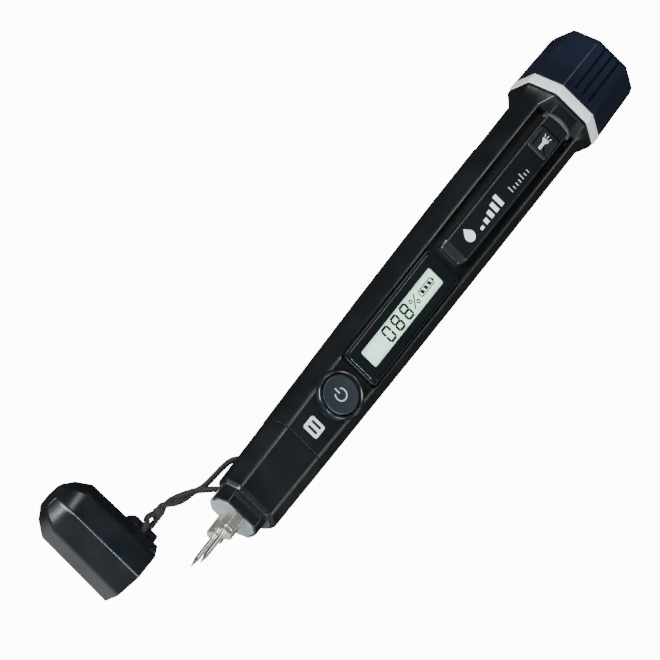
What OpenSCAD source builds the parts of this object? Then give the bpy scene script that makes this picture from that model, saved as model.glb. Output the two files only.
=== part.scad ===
// Pocket moisture meter: two-pin probe at one end, flashlight at the other,
// with a protective cap on a short braided lanyard.
// +Y runs from the pins to the flashlight, +Z is the display side.
// The origin is the centre of the nose's end face, where the pins come out.

/* [Housing] */
// Length from the nose face to the rim of the flashlight
body_len = 161; // [158:0.2:166]
// Half width of the housing just above the nose
half_w_low = 8.85; // [8.6:0.05:9.2]
// Half width of the housing below the collar
half_w_high = 9.75; // [9.5:0.05:10]
// Height of the front face above the axis
front_z = 7.9; // [7.7:0.05:8.1]
// Depth of the back face below the axis
back_z = 8.3; // [8.2:0.05:8.5]
// Wall thickness of the housing
wall = 1.4; // [1.2:0.05:1.5]

/* [Head] */
// Distance across the flats of the silver trim ring
head_af = 23.1; // [22.6:0.1:24]
// Thickness of the trim ring along the axis
trim_len = 2.9; // [2.4:0.1:3]

/* [Probe] */
// Distance between the two pins
pin_pitch = 5.2; // [5:0.1:5.4]
// Diameter of each pin
pin_d = 1.3; // [1:0.05:1.4]
// Length of pin outside its hexagonal holder
pin_out = 10.1; // [8:0.1:10.5]
// Distance across the flats of a holder
holder_af = 4.3; // [4:0.1:4.5]

/* [Buttons] */
// Diameter of the power button
power_d = 10.3; // [9.8:0.1:10.4]
// Travel of both buttons
button_travel = 0.5; // [0.3:0.05:0.5]

/* [Cap] */
// Length of the protective cap
cap_len = 27.9; // [27:0.1:29]
// Distance across the flats of the cap
cap_af = 17.3; // [17:0.1:17.6]

/* [Hidden] */
$fn = 48;

gap = 0.1;              // clearance between fitted pieces
nose_len = 3.4;         // the nose stands this far out of the housing
seam_y = 24.5;          // seam between nose section and main housing
door_end_y = 120.4;     // upper edge of the battery door
collar_y = 137.2;       // the housing starts to flare here
collar_end_y = 141.0;
split_z = 0.5;          // parting plane between front and rear
edge_drop = 0.5;        // the front edges are this much below the front face
door_proud = 0.3;       // the door stands proud of the rear shell

power_y = 40.8;
hold_y = 29.6;
lens_y0 = 49.6;
lens_y1 = 86.3;
window_y0 = 52.8;
window_y1 = 82.9;
tongue_y0 = 89.6;
light_y = 128.9;

cell_r = 5.25;
cell_len = 44.5;
cell_z = -2.0;
cell_y0 = 28.6;
board_z = 4.3;
board_t = 1.0;
board_top = board_z + board_t;

trim_y = collar_end_y + gap;
bezel_y = trim_y + trim_len + gap;
lamp_r = 8.7;           // bore of collar, trim ring and bezel
lamp_foot_r = 6.5;      // narrower bore where the collar starts
lamp_step_y = 139.3;

screw_y = 134.4;        // upper case screw
nose_screw_y = 19.6;    // screw that holds the nose section
screw_r = 0.95;
block_y = 7.4;          // the grey block shows this far up at the back
block_z = -0.6;         // and below this height

holder_len = 6.25;      // length of holder outside the nose face
shank_r = 0.5;          // across the corners of a pin's six-sided shank, halved

cap_mouth_x = -11.2;
cap_y = -30.2;
cap_wall = 1.5;

// Housing outline at a station along the axis: an eight-sided ring plus a small front bevel.
// Each row is [y, flat, edge, half width, side top, side foot, back half width, back depth]
LOW_ROW = [nose_len, 4.9, 5.7, half_w_low, 4.5, 1.2, 5.2, 6.9];
SEAM_ROW = [seam_y, 5.1, 6.0, half_w_low + 0.25, 4.5, 1.0, 6.0, 8.2];
MID_ROW = [70, 6.0, 6.8, half_w_high - 0.2, 4.3, -0.8, 6.2, back_z];
TOP_ROW = [100, 6.3, 7.1, half_w_high, 4.0, -1.5, 6.4, back_z];
NECK_ROW = [collar_y, 6.3, 7.1, half_w_high, 4.0, -1.5, 6.4, back_z];

function row_points(r, inset = 0, front = front_z) = [
    [r[1] - inset * 0.3, front - inset], [r[2] - inset * 0.55, front - edge_drop - inset * 0.95],
    [r[3] - inset, r[4] - inset * 0.35], [r[3] - inset, r[5] + inset * 0.15],
    [r[6] - inset * 0.6, -r[7] + inset],
    [-r[6] + inset * 0.6, -r[7] + inset], [-r[3] + inset, r[5] + inset * 0.15],
    [-r[3] + inset, r[4] - inset * 0.35],
    [-r[2] + inset * 0.55, front - edge_drop - inset * 0.95], [-r[1] + inset * 0.3, front - inset]];

function octagon(half, flat_half) = [[flat_half, half], [half, flat_half], [half, -flat_half],
    [flat_half, -half], [-flat_half, -half], [-half, -flat_half], [-half, flat_half],
    [-flat_half, half]];

// Row between two rows at a given y
function mix_row(a, b, y) = a + (b - a) * (y - a[0]) / (b[0] - a[0]);

// Solid through rings of [x, z] points at given y values
module loft(ys, rings) {
    m = len(rings[0]);
    k = len(ys);
    pts = [for (i = [0:k - 1]) for (p = rings[i]) [p[0], ys[i], p[1]]];
    sides = [for (i = [0:k - 2]) for (j = [0:m - 1])
        [i * m + j, (i + 1) * m + j, (i + 1) * m + (j + 1) % m, i * m + (j + 1) % m]];
    ends = [[for (j = [0:m - 1]) j], [for (j = [m - 1:-1:0]) (k - 1) * m + j]];
    polyhedron(pts, concat(sides, ends), convexity = 6);
}

module along_y(y0, y1, r, x = 0, z = 0, r2 = -1) {
    translate([x, y0, z])
        rotate([-90, 0, 0])
            cylinder(h = y1 - y0, r1 = r, r2 = r2 < 0 ? r : r2);
}

module slab(x, y0, y1, z0, z1) {
    translate([-x, y0, z0]) cube([2 * x, y1 - y0, z1 - z0]);
}

// Bar with rounded corners seen from the front
module rounded_slab(x, y0, y1, z0, z1, r) {
    translate([0, 0, z0])
        linear_extrude(z1 - z0)
            union() {
                translate([-x + r, y0]) square([2 * (x - r), y1 - y0]);
                translate([-x, y0 + r]) square([2 * x, y1 - y0 - 2 * r]);
                for (sx = [-1, 1], cy = [y0 + r, y1 - r])
                    translate([sx * (x - r), cy]) circle(r, $fn = 32);
            }
}

module body_solid(y0, y1, inset = 0) {
    rows = [mix_row(SEAM_ROW, MID_ROW, y0), MID_ROW, TOP_ROW, NECK_ROW];
    loft([y0, MID_ROW[0], TOP_ROW[0], y1], [for (r = rows) row_points(r, inset)]);
}

// Flare from the housing section to the octagonal collar
module collar_solid() {
    half = head_af / 2 - 0.25;
    flat = half * 0.468;
    mid = (half + flat) / 2;
    ring = [[flat, half], [mid, mid], [half, flat], [half, -flat], [flat, -half],
        [-flat, -half], [-half, -flat], [-half, flat], [-mid, mid], [-flat, half]];
    low = row_points(NECK_ROW, 0.02);
    loft([collar_y - 0.05, collar_end_y - 0.9, collar_end_y], [low, ring, ring]);
}

// Power button seat, display bed, side channels and light button well are cut or added here
module front_outer() {
    difference() {
        union() {
            body_solid(seam_y + gap, collar_y);
            collar_solid();
        }
        // Channel each side of the display and the raised tongue
        rounded_slab(6.2, 48.4, collar_y - 0.2, 6.7, 12, 1.5);
        for (s = [-1, 1])
            translate([s * 5.1, 0, 0])
                rounded_slab(0.9, 123, collar_y - 0.3, 6.1, 12, 0.6);
    }
    // Bed of the display lens
    rounded_slab(5.6, lens_y0 - 0.6, lens_y1 + 0.6, 5.6, 8.35, 1.2);
    tongue();
}

module tongue() {
    w = 3.95;
    top = 3.4;
    z_low = 9.7;
    z_high = 11.0;
    low = [[top, z_low], [w, z_low - 0.5], [w, 5.6], [-w, 5.6], [-w, z_low - 0.5], [-top, z_low]];
    foot = [[top - 0.4, 8.6], [w - 0.5, 8.3], [w - 0.5, 5.6], [-w + 0.5, 5.6], [-w + 0.5, 8.3],
        [-top + 0.4, 8.6]];
    high = [[top, z_high], [w, z_high - 0.5], [w, 5.6], [-w, 5.6], [-w, z_high - 0.5],
        [-top, z_high]];
    loft([tongue_y0, tongue_y0 + 1.6, collar_y + 2.6], [foot, low, high]);
}

module front_shell() {
    color("#1c1f24")
        difference() {
            front_outer();
            slab(14, 0, 200, -20, split_z);
            // Inside of the shell, below the display side
            intersection() {
                body_solid(seam_y + gap - 1, collar_y, wall);
                slab(14, 0, collar_y - 0.4, -20, 5.6);
            }
            // Seat of the power ring and well of the power button
            translate([0, power_y, 7.0]) cylinder(h = 6, r = 6.55);
            translate([0, power_y, 6.85]) cylinder(h = 6, r = power_d / 2 + 0.15);
            translate([0, power_y, 5]) cylinder(h = 6, r = 3);
            // Seat of the hold label
            rounded_slab(2.45, hold_y - 2.15, hold_y + 2.15, front_z - 0.15, 12, 0.8);
            // Pocket of the display lens, window and room for the glass
            rounded_slab(5.0, lens_y0, lens_y1, 7.7, 12, 1.5);
            slab(2.8, window_y0 - 0.3, window_y1 + 0.3, 5, 8);
            slab(4.4, window_y0 - 2.3, window_y1 + 2.3, 5, 7.1);
            // Well of the light button, wider inside for its flange
            rounded_slab(3.35, light_y - 3.75, light_y + 3.75, 5, 13, 0.9);
            slab(3.65, light_y - 4.2, light_y + 4.2, 5, 9.9);
            // Space under the tongue
            slab(2.6, tongue_y0 + 3, light_y - 6, 5, 8.4);
            lamp_bore();
        }
    color("#1c1f24") upper_boss();
}

// Stepped bore for the lamp's heat sink, shared by both halves of the collar
module lamp_bore() {
    along_y(collar_y - 0.4, collar_end_y + 1, lamp_foot_r);
    along_y(lamp_step_y, collar_end_y + 1, lamp_r);
}

// Boss that takes the upper case screw, hung from the roof of the front shell
module upper_boss() {
    difference() {
        translate([0, screw_y, split_z]) cylinder(h = 5.2, r = 2.0);
        translate([0, screw_y, split_z - 1]) cylinder(h = 5, r = screw_r + 0.05);
    }
}

module rear_shell() {
    r_in = cell_r + 0.15;
    color("#1a1d22")
        difference() {
            union() {
                // Outer end behind the lamp
                difference() {
                    union() {
                        body_solid(seam_y + gap, collar_y);
                        collar_solid();
                    }
                    slab(14, 0, door_end_y + 0.2, -20, 20);
                    intersection() {
                        body_solid(seam_y, collar_y, wall);
                        slab(14, 0, collar_y - 0.4, -20, 20);
                    }
                    slab(14, 0, 200, split_z - gap, 20);
                    lamp_bore();
                }
                // Battery tray: arched roof over the cells with two long side walls
                slab(6.3, seam_y + 1.2, door_end_y + 0.3, cell_z - 0.6, cell_z + 6.1);
                // Wall behind the cells and post round the case screw
                slab(6.6, door_end_y + 0.2, door_end_y + 2.2, -7.0, split_z - gap);
                translate([0, screw_y, -back_z + 0.3])
                    cylinder(h = back_z - 0.3 + split_z - gap, r = 2.5);
            }
            translate([0, screw_y, -back_z - 1]) cylinder(h = 3.6, r = 2.0);
            translate([0, screw_y, -back_z - 1]) cylinder(h = 12, r = screw_r + 0.15);
            along_y(seam_y + 2.4, door_end_y - 0.9, r_in, 0, cell_z);
            slab(r_in, seam_y + 2.4, door_end_y - 0.9, -10, cell_z);
        }
}

module battery_door() {
    y0 = seam_y + gap;
    y1 = door_end_y;
    rows = [SEAM_ROW, MID_ROW, TOP_ROW];
    color("#1b1e23")
        difference() {
            loft([y0, MID_ROW[0], TOP_ROW[0], y1],
                [for (r = concat(rows, [TOP_ROW])) row_points(r, -door_proud * 0.6)]);
            slab(14, 0, 200, split_z - 2 * gap - 0.1, 20);
            difference() {
                loft([y0 - 1, MID_ROW[0], TOP_ROW[0], y1 + 1],
                    [for (r = concat(rows, [TOP_ROW])) row_points(r, wall - 0.55)]);
                slab(14, 0, y0 + 1.0, -20, 20);
                slab(14, y1 - 0.8, 200, -20, 20);
            }
            // Room for the upper end of the battery tray
            slab(6.6, y1 - 0.85, y1 + 1, -3.0, 20);
        }
}

module case_screw(y, z_head, z_tip) {
    translate([0, y, 0])
        difference() {
            union() {
                translate([0, 0, z_head]) cylinder(h = 1.3, r = 1.8);
                translate([0, 0, z_head + 1.2]) cylinder(h = z_tip - z_head - 1.2, r = screw_r);
            }
            for (turn = [0, 90])
                translate([0, 0, z_head - 0.1])
                    rotate([0, 0, turn])
                        translate([-1.1, -0.25, 0]) cube([2.2, 0.5, 0.8]);
        }
}

module case_screws() {
    color("silver") {
        case_screw(screw_y, -back_z + 1.2, 4.2);
        case_screw(nose_screw_y, -6.2, 1.0);
    }
}

// Section of the stepped nose, grown or shrunk all round
function nose_ring(grow = 0) = [[4.7 + grow * 0.8, 4.75 + grow], [6.9 + grow, 2 + grow * 0.4],
    [6.9 + grow, -2 - grow * 0.4], [4.4 + grow * 0.8, -4.75 - grow],
    [-4.4 - grow * 0.8, -4.75 - grow], [-6.9 - grow, -2 - grow * 0.4],
    [-6.9 - grow, 2 + grow * 0.4], [-4.7 - grow * 0.8, 4.75 + grow]];

module nose_shell() {
    color("#1c1f24")
        difference() {
            union() {
                // Tapered sleeve below the seam
                loft([nose_len, seam_y], [row_points(LOW_ROW), row_points(SEAM_ROW)]);
                // Thin cover over the front of the stepped nose
                loft([0.05, nose_len + 0.4], [nose_ring(), nose_ring()]);
            }
            // Core of the pin block runs through, and the block shows at the back of the nose
            loft([-1, block_y + 3], [nose_ring(-0.6), nose_ring(-0.6)]);
            slab(14, -1, block_y + 0.1, -20, block_z);
            difference() {
                loft([block_y + 2, seam_y + 1], [row_points(LOW_ROW, wall), row_points(SEAM_ROW, wall)]);
                nose_screw_post(2.7);
            }
            nose_screw_post(screw_r + 0.15);
            translate([0, nose_screw_y, -12]) cylinder(h = 7.1, r = 2.0);
            lanyard_eye(LANYARD_B[0], LANYARD_B[1]);
        }
}

module nose_screw_post(r) {
    translate([0, nose_screw_y, -12]) cylinder(h = 8.1, r = r);
}

// Straight hole that a lanyard strand leaves through
module lanyard_eye(inner, outer) {
    d = outer - inner;
    translate(inner - d * 0.6)
        rotate([0, acos(d[2] / norm(d)), atan2(d[1], d[0])])
            cylinder(h = norm(d) * 3, r = lanyard_d / 2 + 0.25);
}

// Light grey insulating block: end face, back of the nose and the core that holds the pins
module pin_block() {
    back = row_points(LOW_ROW, 0.35);
    color("#9aa4a6")
        difference() {
            union() {
                loft([0, 14], [nose_ring(-0.7), nose_ring(-0.7)]);
                // Tail that the nose screw enters
                slab(1.9, 13.9, nose_screw_y + 2.2, -1.6, 1.6);
                difference() {
                    union() {
                        loft([0, nose_len + 0.2], [nose_ring(), nose_ring()]);
                        loft([nose_len, block_y], [
                            [for (p = back) [p[0] * 0.8, p[1] * 0.72]], back]);
                    }
                    slab(14, -1, 20, block_z - gap, 20);
                }
            }
            for (z = [-1, 1] * pin_pitch / 2)
                along_y(-1, 15, 1.0, 0, z);
            translate([0, nose_screw_y, -6]) cylinder(h = 7.5, r = screw_r + 0.05);
            lanyard_eye(LANYARD_A[0], LANYARD_A[1]);
        }
}

module pin_holder(z) {
    color("#c9ccc6")
        difference() {
            union() {
                translate([0, -holder_len, z])
                    rotate([-90, 0, 0])
                        cylinder(h = holder_len - 0.05, r = holder_af / 2 / cos(30), $fn = 6);
                along_y(-0.2, 6, 0.95, 0, z);
            }
            along_y(-7, -0.8, shank_r + 0.03, 0, z);
        }
}

module pin(z) {
    color("#8f958f") {
        // Six-sided shank, pressed into the holder's round bore so that the pin can't turn
        translate([0, -holder_len - 0.1, z])
            rotate([-90, 0, 0])
                cylinder(h = holder_len - 0.8, r = shank_r, $fn = 6);
        along_y(-holder_len - pin_out + 3, -holder_len, pin_d / 2, 0, z);
        along_y(-holder_len - pin_out, -holder_len - pin_out + 3, 0.06, 0, z, pin_d / 2);
    }
}

module pin_holder_front() pin_holder(pin_pitch / 2);
module pin_holder_back() pin_holder(-pin_pitch / 2);
module pin_front() pin(pin_pitch / 2);
module pin_back() pin(-pin_pitch / 2);

// Two sprung plungers with strips that carry the reading to the board
module pin_contacts() {
    color("gold")
        for (side = [0, 180])
            rotate([0, side, 0]) {
                along_y(6.1, 14.2, 0.9, 0, pin_pitch / 2);
                translate([-1.2, 14.1, 1.8]) cube([4.6, 0.3, 1.6]);
                translate([3.1, 14.1, 1.8]) cube([0.3, 10.2, 1.6]);
            }
    // Risers to the underside of the board
    color("gold") {
        translate([3.1, 23.3, 1.8]) cube([0.3, 1, board_z - 0.05 - 1.8]);
        translate([-3.4, 23.3, -3.4]) cube([0.3, 1, board_z - 0.05 + 3.4]);
    }
}

module power_ring() {
    color("#23272c")
        translate([0, power_y, 7.0])
            rotate_extrude($fn = 96)
                polygon([[power_d / 2 + 0.2, 0], [6.5, 0], [6.5, 1.2], [6.2, 2.1], [5.9, 2.3],
                    [5.6, 2.1], [power_d / 2 + 0.2, 1.6]]);
}

module power_button() {
    color("#2a2f34")
        translate([0, power_y, 0]) {
            translate([0, 0, 7.45])
                rotate_extrude($fn = 96)
                    polygon([[0, 0], [power_d / 2, 0], [power_d / 2, 0.9], [4.8, 1.3],
                        [3.4, 1.5], [0, 1.4]]);
            translate([0, 0, 6.95]) cylinder(h = 0.6, r = 1.8);
        }
}

module power_switch() {
    color("silver")
        translate([0, power_y, board_top + 0.02]) {
            translate([-2, -2, 0]) cube([4, 4, 0.7]);
            cylinder(h = 1.5 - button_travel, r = 1.1);
        }
}

module light_button() {
    color("#24282d") {
        rounded_slab(3.15, light_y - 3.5, light_y + 3.5, 9.0, 10.9, 0.8);
        slab(3.5, light_y - 4.0, light_y + 4.0, 9.0, 9.8);
    }
}

module light_switch() {
    color("silver")
        translate([0, light_y, board_top + 0.02]) {
            translate([-2.5, -2.5, 0]) cube([5, 5, 2.0]);
            cylinder(h = 3.5 - button_travel, r = 1.4);
        }
}

module hold_label() {
    color("#dfe9e7")
        rounded_slab(2.35, hold_y - 2.05, hold_y + 2.05, front_z - 0.13, front_z + 0.1, 0.75);
}

module lcd_lens() {
    color("#2b3034")
        rounded_slab(4.93, lens_y0 + 0.07, lens_y1 - 0.07, 7.72, 8.75, 1.45);
}

module lcd_glass() {
    color("#dff5e6")
        slab(4.2, window_y0 - 2, window_y1 + 2, 6.0, 7.0);
}

module lcd_backlight() {
    color("white")
        slab(4.2, window_y0 - 2, window_y1 + 2, board_top + 0.05, 5.95);
}

module main_board() {
    color("darkgreen")
        difference() {
            slab(5.0, seam_y - 1.7, 132.1, board_z, board_top);
            for (y = [47.4, 90.5])
                translate([0, y, board_z - 1]) cylinder(h = 3, r = 0.8);
        }
}

module buzzer() {
    color("#30343a")
        difference() {
            translate([0, 127, 1.0]) cylinder(h = 3.2, r = 4.1);
            translate([0, 127, 0.5]) cylinder(h = 1.2, r = 0.8);
        }
}

module cell(y) {
    color("#a9b4bd") {
        along_y(y + 0.9, y + cell_len, cell_r, 0, cell_z);
        along_y(y, y + 1, 1.9, 0, cell_z);
    }
}

module battery_lower() cell(cell_y0);
module battery_upper() cell(cell_y0 + cell_len + 0.05);

// Round wire or cord through a list of points
function unit(v) = v / norm(v);
module tube(path, r, sides = 8) {
    k = len(path);
    pts = [for (i = [0:k - 1])
        let (t = unit(path[min(i + 1, k - 1)] - path[max(i - 1, 0)]),
            a = unit(cross(t, abs(t[2]) > 0.8 ? [1, 0, 0] : [0, 0, 1])), b = cross(t, a))
        for (j = [0:sides - 1])
            path[i] + r * (cos(j * 360 / sides) * a + sin(j * 360 / sides) * b)];
    walls = [for (i = [0:k - 2]) for (j = [0:sides - 1])
        [i * sides + j, (i + 1) * sides + j, (i + 1) * sides + (j + 1) % sides,
            i * sides + (j + 1) % sides]];
    ends = [[for (j = [0:sides - 1]) j], [for (j = [sides - 1:-1:0]) (k - 1) * sides + j]];
    polyhedron(pts, concat(walls, ends), convexity = 8);
}

// Smooth curve through hand-placed points
function curve(p, n) = [for (i = [0:len(p) - 2]) for (j = [0:n - 1])
    let (a = p[max(i - 1, 0)], b = p[i], c = p[i + 1], d = p[min(i + 2, len(p) - 1)], t = j / n)
    0.5 * (2 * b + (c - a) * t + (2 * a - 5 * b + 4 * c - d) * t * t
        + (3 * b - a - 3 * c + d) * t * t * t), p[len(p) - 1]];

module battery_spring() {
    turns = 2.5;
    steps = 30;
    y0 = cell_y0 + 2 * cell_len + 0.35;
    color("silver")
        tube([for (i = [0:steps])
            let (t = i / steps, r = 1.8 + 2.2 * t)
            [r * cos(360 * turns * t), y0 + 1.1 * t, cell_z + r * sin(360 * turns * t)]], 0.22, 6);
}

module battery_plate() {
    color("silver")
        slab(3.6, cell_y0 - 0.7, cell_y0 - 0.1, cell_z - 3, cell_z + 3);
}

function head_ring(half) = octagon(half, half * 0.468);

module trim_ring() {
    half = head_af / 2;
    color("#e8eaec")
        difference() {
            loft([trim_y, trim_y + 0.25, trim_y + trim_len - 0.25, trim_y + trim_len],
                [head_ring(half - 0.2), head_ring(half), head_ring(half), head_ring(half - 0.2)]);
            along_y(trim_y - 1, trim_y + 5, lamp_r);
        }
}

module head_bezel() {
    half = head_af / 2;
    color("#20232b")
        difference() {
            loft([bezel_y, body_len - 2.1, body_len - 0.6, body_len],
                [head_ring(half - 0.1), head_ring(half - 0.6), head_ring(half - 1.05),
                    head_ring(half - 1.55)]);
            along_y(bezel_y - 1, bezel_y + 1.6, lamp_r);
            along_y(bezel_y + 1.5, body_len + 1, lamp_r + 0.05);
            // Three grip grooves on each flat
            for (turn = [0:90:270], i = [-1:1])
                rotate([0, turn, 0])
                    translate([i * 2.35 - 0.3, bezel_y + 1.8, half - 0.75])
                        rotate([-1.9, 0, 0]) cube([0.6, body_len - bezel_y, 2]);
        }
}

module lens_ring() {
    color("#15171b")
        difference() {
            along_y(body_len - 1.5, body_len - 0.5, lamp_r - 0.05);
            along_y(body_len - 2, body_len, lamp_r - 0.9);
        }
}

module lamp_lens() {
    color("lightblue", 0.4)
        along_y(body_len - 3.2, body_len - 1.6, lamp_r - 0.1);
}

module lens_seal() {
    color("#111111")
        difference() {
            along_y(body_len - 3.9, body_len - 3.3, lamp_r - 0.05);
            along_y(body_len - 5, body_len, lamp_r - 0.75);
        }
}

module reflector() {
    y0 = bezel_y + 2.8;
    h = body_len - 4.0 - y0;
    n = 12;
    function bowl(t) = 1.9 + (lamp_r - 1.0 - 1.9) * sqrt(t);
    color("#d9dde0")
        translate([0, y0, 0])
            rotate([-90, 0, 0])
                rotate_extrude($fn = 96)
                    polygon(concat([for (i = [0:n]) [bowl(i / n), h * i / n]],
                        [[lamp_r - 0.1, h], [lamp_r - 0.1, h - 0.8]],
                        [for (i = [n - 1:-1:0]) [bowl(i / n) + 0.7, h * i / n - 0.01]]));
}

module led_board() {
    color("white")
        along_y(bezel_y + 1.2, bezel_y + 2.0, 7.4);
}

module led() {
    color("#f4e27a") {
        translate([-1.7, bezel_y + 2.05, -1.7]) cube([3.4, 0.6, 3.4]);
        along_y(bezel_y + 2.6, bezel_y + 3.6, 1.3, 0, 0, 0.7);
    }
}

// Aluminium core that joins collar, trim ring and bezel, with the wire hole
module heat_sink() {
    color("#b8bcc0")
        difference() {
            union() {
                along_y(collar_y + 0.1, lamp_step_y + 0.2, lamp_foot_r - 0.08);
                along_y(lamp_step_y + 0.1, bezel_y + 1.15, lamp_r - 0.08);
            }
            along_y(collar_y - 1, bezel_y - 0.5, 5.4);
            along_y(collar_y - 1, bezel_y + 3, 0.9, 3.5, 0);
        }
}

// Cap in its fitted attitude: mouth at y = 0 facing +Y, lanyard bar on its left
module cap_body() {
    half = cap_af / 2;
    function ring(h) = octagon(h, h * 0.414);
    difference() {
        union() {
            loft([-cap_len, -cap_len + 1.6, -cap_len + 5.6, 0],
                [ring(half - 4.6), ring(half - 2.6), ring(half - 0.25), ring(half + 0.1)]);
            // Lanyard bar
            translate([-half - 3.1, 0, -1.5])
                linear_extrude(3)
                    difference() {
                        polygon([[0, -0.9], [0, -8.4], [1.4, -10.1], [3.6, -10.6], [3.6, -0.6]]);
                        translate([1.6, -7.5]) square([1.6, 4.9]);
                    }
        }
        loft([-cap_len + 2.2, -cap_len + 6, -5, 1],
            [ring(half - 4.6), ring(half - cap_wall - 0.3), ring(half - cap_wall),
                ring(half - cap_wall)]);
    }
}

// The cap lies beside the meter, square to it
module placed_cap() {
    translate([cap_mouth_x, cap_y, 0])
        rotate([0, 0, -90])
            children();
}

module cap() {
    color("#3b4046") placed_cap() cap_body();
}

module cap_liner() {
    half = cap_af / 2 - cap_wall - 0.05;
    color("#2c2f33")
        placed_cap()
            difference() {
                loft([-3.9, -0.4], [octagon(half, half * 0.414), octagon(half, half * 0.414)]);
                slab(12, -5, 1, -4.97, 4.97);
            }
}

// Lanyard: two strands from the housing twist round each other up to the knot,
// and a loop goes round the cap's bar
lanyard_d = 1.15;
KNOT = [-15.0, -12.4, -2.4];
TWIST_MID = [[-10.2, 0.8, -5.4], [-11.6, -2.4, -5.6], [-13.0, -5.4, -5.3], [-14.1, -8.0, -4.4],
    [-14.7, -10.0, -3.3]];
TWIST_SIDE = [0.933, -0.36, 0];
TWIST_UP = [0.082, 0.214, 0.973];
twist_r = 0.7;
function twisted(half) = [for (i = [0:len(TWIST_MID) - 1])
    TWIST_MID[i] + half * twist_r * (TWIST_SIDE * cos(90 + 60 * i) + TWIST_UP * sin(90 + 60 * i))];
LANYARD_A = concat([[-5.8, 4.9, -2.3], [-7.6, 3.5, -3.2], [-8.8, 2.3, -4.0]], twisted(1),
    [[-14.16, -11.33, -3.24]]);
LANYARD_B = concat([[-5.2, 17.0, -4.8], [-7.2, 15.0, -5.6], [-8.0, 13.4, -6.0], [-8.4, 11.0, -6.3],
    [-8.6, 8.4, -6.5], [-8.8, 5.8, -6.6], [-9.3, 3.2, -6.5]], twisted(-1),
    [[-15.48, -10.9, -2.1]]);
LANYARD_LOOP = [[-15.87, -13.49, -2.26], [-16.5, -14.9, -1.5], [-16.9, -16.8, 0.3],
    [-16.7, -18.4, 2.2], [-16.4, -20.1, 2.3], [-16.1, -20.85, 0.8], [-15.7, -20.85, -0.8],
    [-15.2, -20.1, -2.3], [-14.7, -18.4, -2.3], [-14.3, -16.6, -2.3], [-14.2, -15.0, -2.4],
    [-14.37, -13.63, -2.26]];

module lanyard_strand_a() {
    color("#16181b") tube(curve(LANYARD_A, 3), lanyard_d / 2);
}

module lanyard_strand_b() {
    color("#16181b") tube(curve(LANYARD_B, 3), lanyard_d / 2);
}

module lanyard_loop() {
    color("#16181b") tube(curve(LANYARD_LOOP, 2), lanyard_d / 2);
}

module lanyard_knot() {
    color("#101214") translate(KNOT) sphere(r = 1.3);
}

front_shell();
rear_shell();
nose_shell();
pin_block();
battery_door();
pin_holder_front();
pin_holder_back();
pin_front();
pin_back();
pin_contacts();
power_ring();
power_button();
power_switch();
light_button();
light_switch();
hold_label();
lcd_lens();
lcd_glass();
lcd_backlight();
main_board();
buzzer();
battery_lower();
battery_upper();
battery_spring();
battery_plate();
trim_ring();
head_bezel();
lens_ring();
lens_seal();
lamp_lens();
reflector();
led();
led_board();
heat_sink();
case_screws();
cap();
cap_liner();
lanyard_strand_a();
lanyard_strand_b();
lanyard_knot();
lanyard_loop();
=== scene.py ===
# %% [markdown]
# # A pocket moisture meter
# This tool pushes two needles into wood and shows how wet it is. It has a long eight-sided
# plastic housing, a grey nose with the needles, a display, two buttons, a flashlight in the
# head and a cap on a short lanyard. The CAD model already holds every real size and every
# joint. Here each visible piece is made again with soft edges and with its real finish.

import math

import bmesh
import bpy
from mathutils import Matrix, Vector


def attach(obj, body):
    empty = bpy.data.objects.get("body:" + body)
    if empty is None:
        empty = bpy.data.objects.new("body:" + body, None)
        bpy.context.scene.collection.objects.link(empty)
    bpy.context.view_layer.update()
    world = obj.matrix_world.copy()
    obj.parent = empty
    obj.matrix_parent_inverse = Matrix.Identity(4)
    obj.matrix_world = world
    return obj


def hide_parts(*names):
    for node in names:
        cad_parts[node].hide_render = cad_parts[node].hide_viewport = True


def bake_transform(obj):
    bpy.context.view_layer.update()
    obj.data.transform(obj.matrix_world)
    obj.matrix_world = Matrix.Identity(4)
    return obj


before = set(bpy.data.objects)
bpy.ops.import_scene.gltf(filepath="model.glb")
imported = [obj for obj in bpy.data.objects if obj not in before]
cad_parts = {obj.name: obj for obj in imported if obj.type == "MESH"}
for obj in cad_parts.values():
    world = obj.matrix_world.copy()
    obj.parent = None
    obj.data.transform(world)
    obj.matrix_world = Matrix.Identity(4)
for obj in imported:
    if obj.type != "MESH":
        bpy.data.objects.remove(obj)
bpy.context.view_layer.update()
MM = 0.001  # the frame is in metres, and this object is easier to think of in millimetres

# %% [markdown]
# ## The camera
# A product shot of a slim tool is taken from far away with a long lens, so that its sides stay
# parallel. The camera's three axes are written as directions in the model: where the picture's
# right points, where its top points, and which way the camera stands. That fixes the view
# exactly, which a look-at constraint would not, because the tool lies turned in the picture.
# Standing even farther off would be flatter still, but views from other sides keep this lens
# and need room too, so the distance stops where every side can still be seen.

# %% Camera
ACROSS = Vector((0.9724, 0.0, 0.2334))  # across the housing, as the camera sees it
ALONG = Vector((-0.1027, 0.898, 0.4279))  # along the housing, as the camera sees it
AIM = Vector((-10.3, 55.75, 0.0)) * MM
VIEW_WIDTH = 163.0 * MM
DISTANCE = 5.5  # metres
SENSOR_WIDTH, CLIP_NEAR, CLIP_FAR = 36, 0.1, 40

right = (0.7826 * ACROSS + 0.6225 * ALONG).normalized()
up = (-0.6225 * ACROSS + 0.7826 * ALONG).normalized()
toward = right.cross(up).normalized()
up = toward.cross(right).normalized()

camera_data = bpy.data.cameras.new("long_lens")
camera_data.sensor_width = SENSOR_WIDTH
camera_data.lens = SENSOR_WIDTH * DISTANCE / VIEW_WIDTH
camera_data.clip_start = CLIP_NEAR
camera_data.clip_end = CLIP_FAR
camera = bpy.data.objects.new("long_lens", camera_data)
bpy.context.collection.objects.link(camera)
turn = Matrix((right, up, toward)).transposed().to_4x4()
camera.matrix_world = Matrix.Translation(AIM + toward * DISTANCE) @ turn
bpy.context.scene.camera = camera
print("lens:", round(camera_data.lens), "mm")

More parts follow.
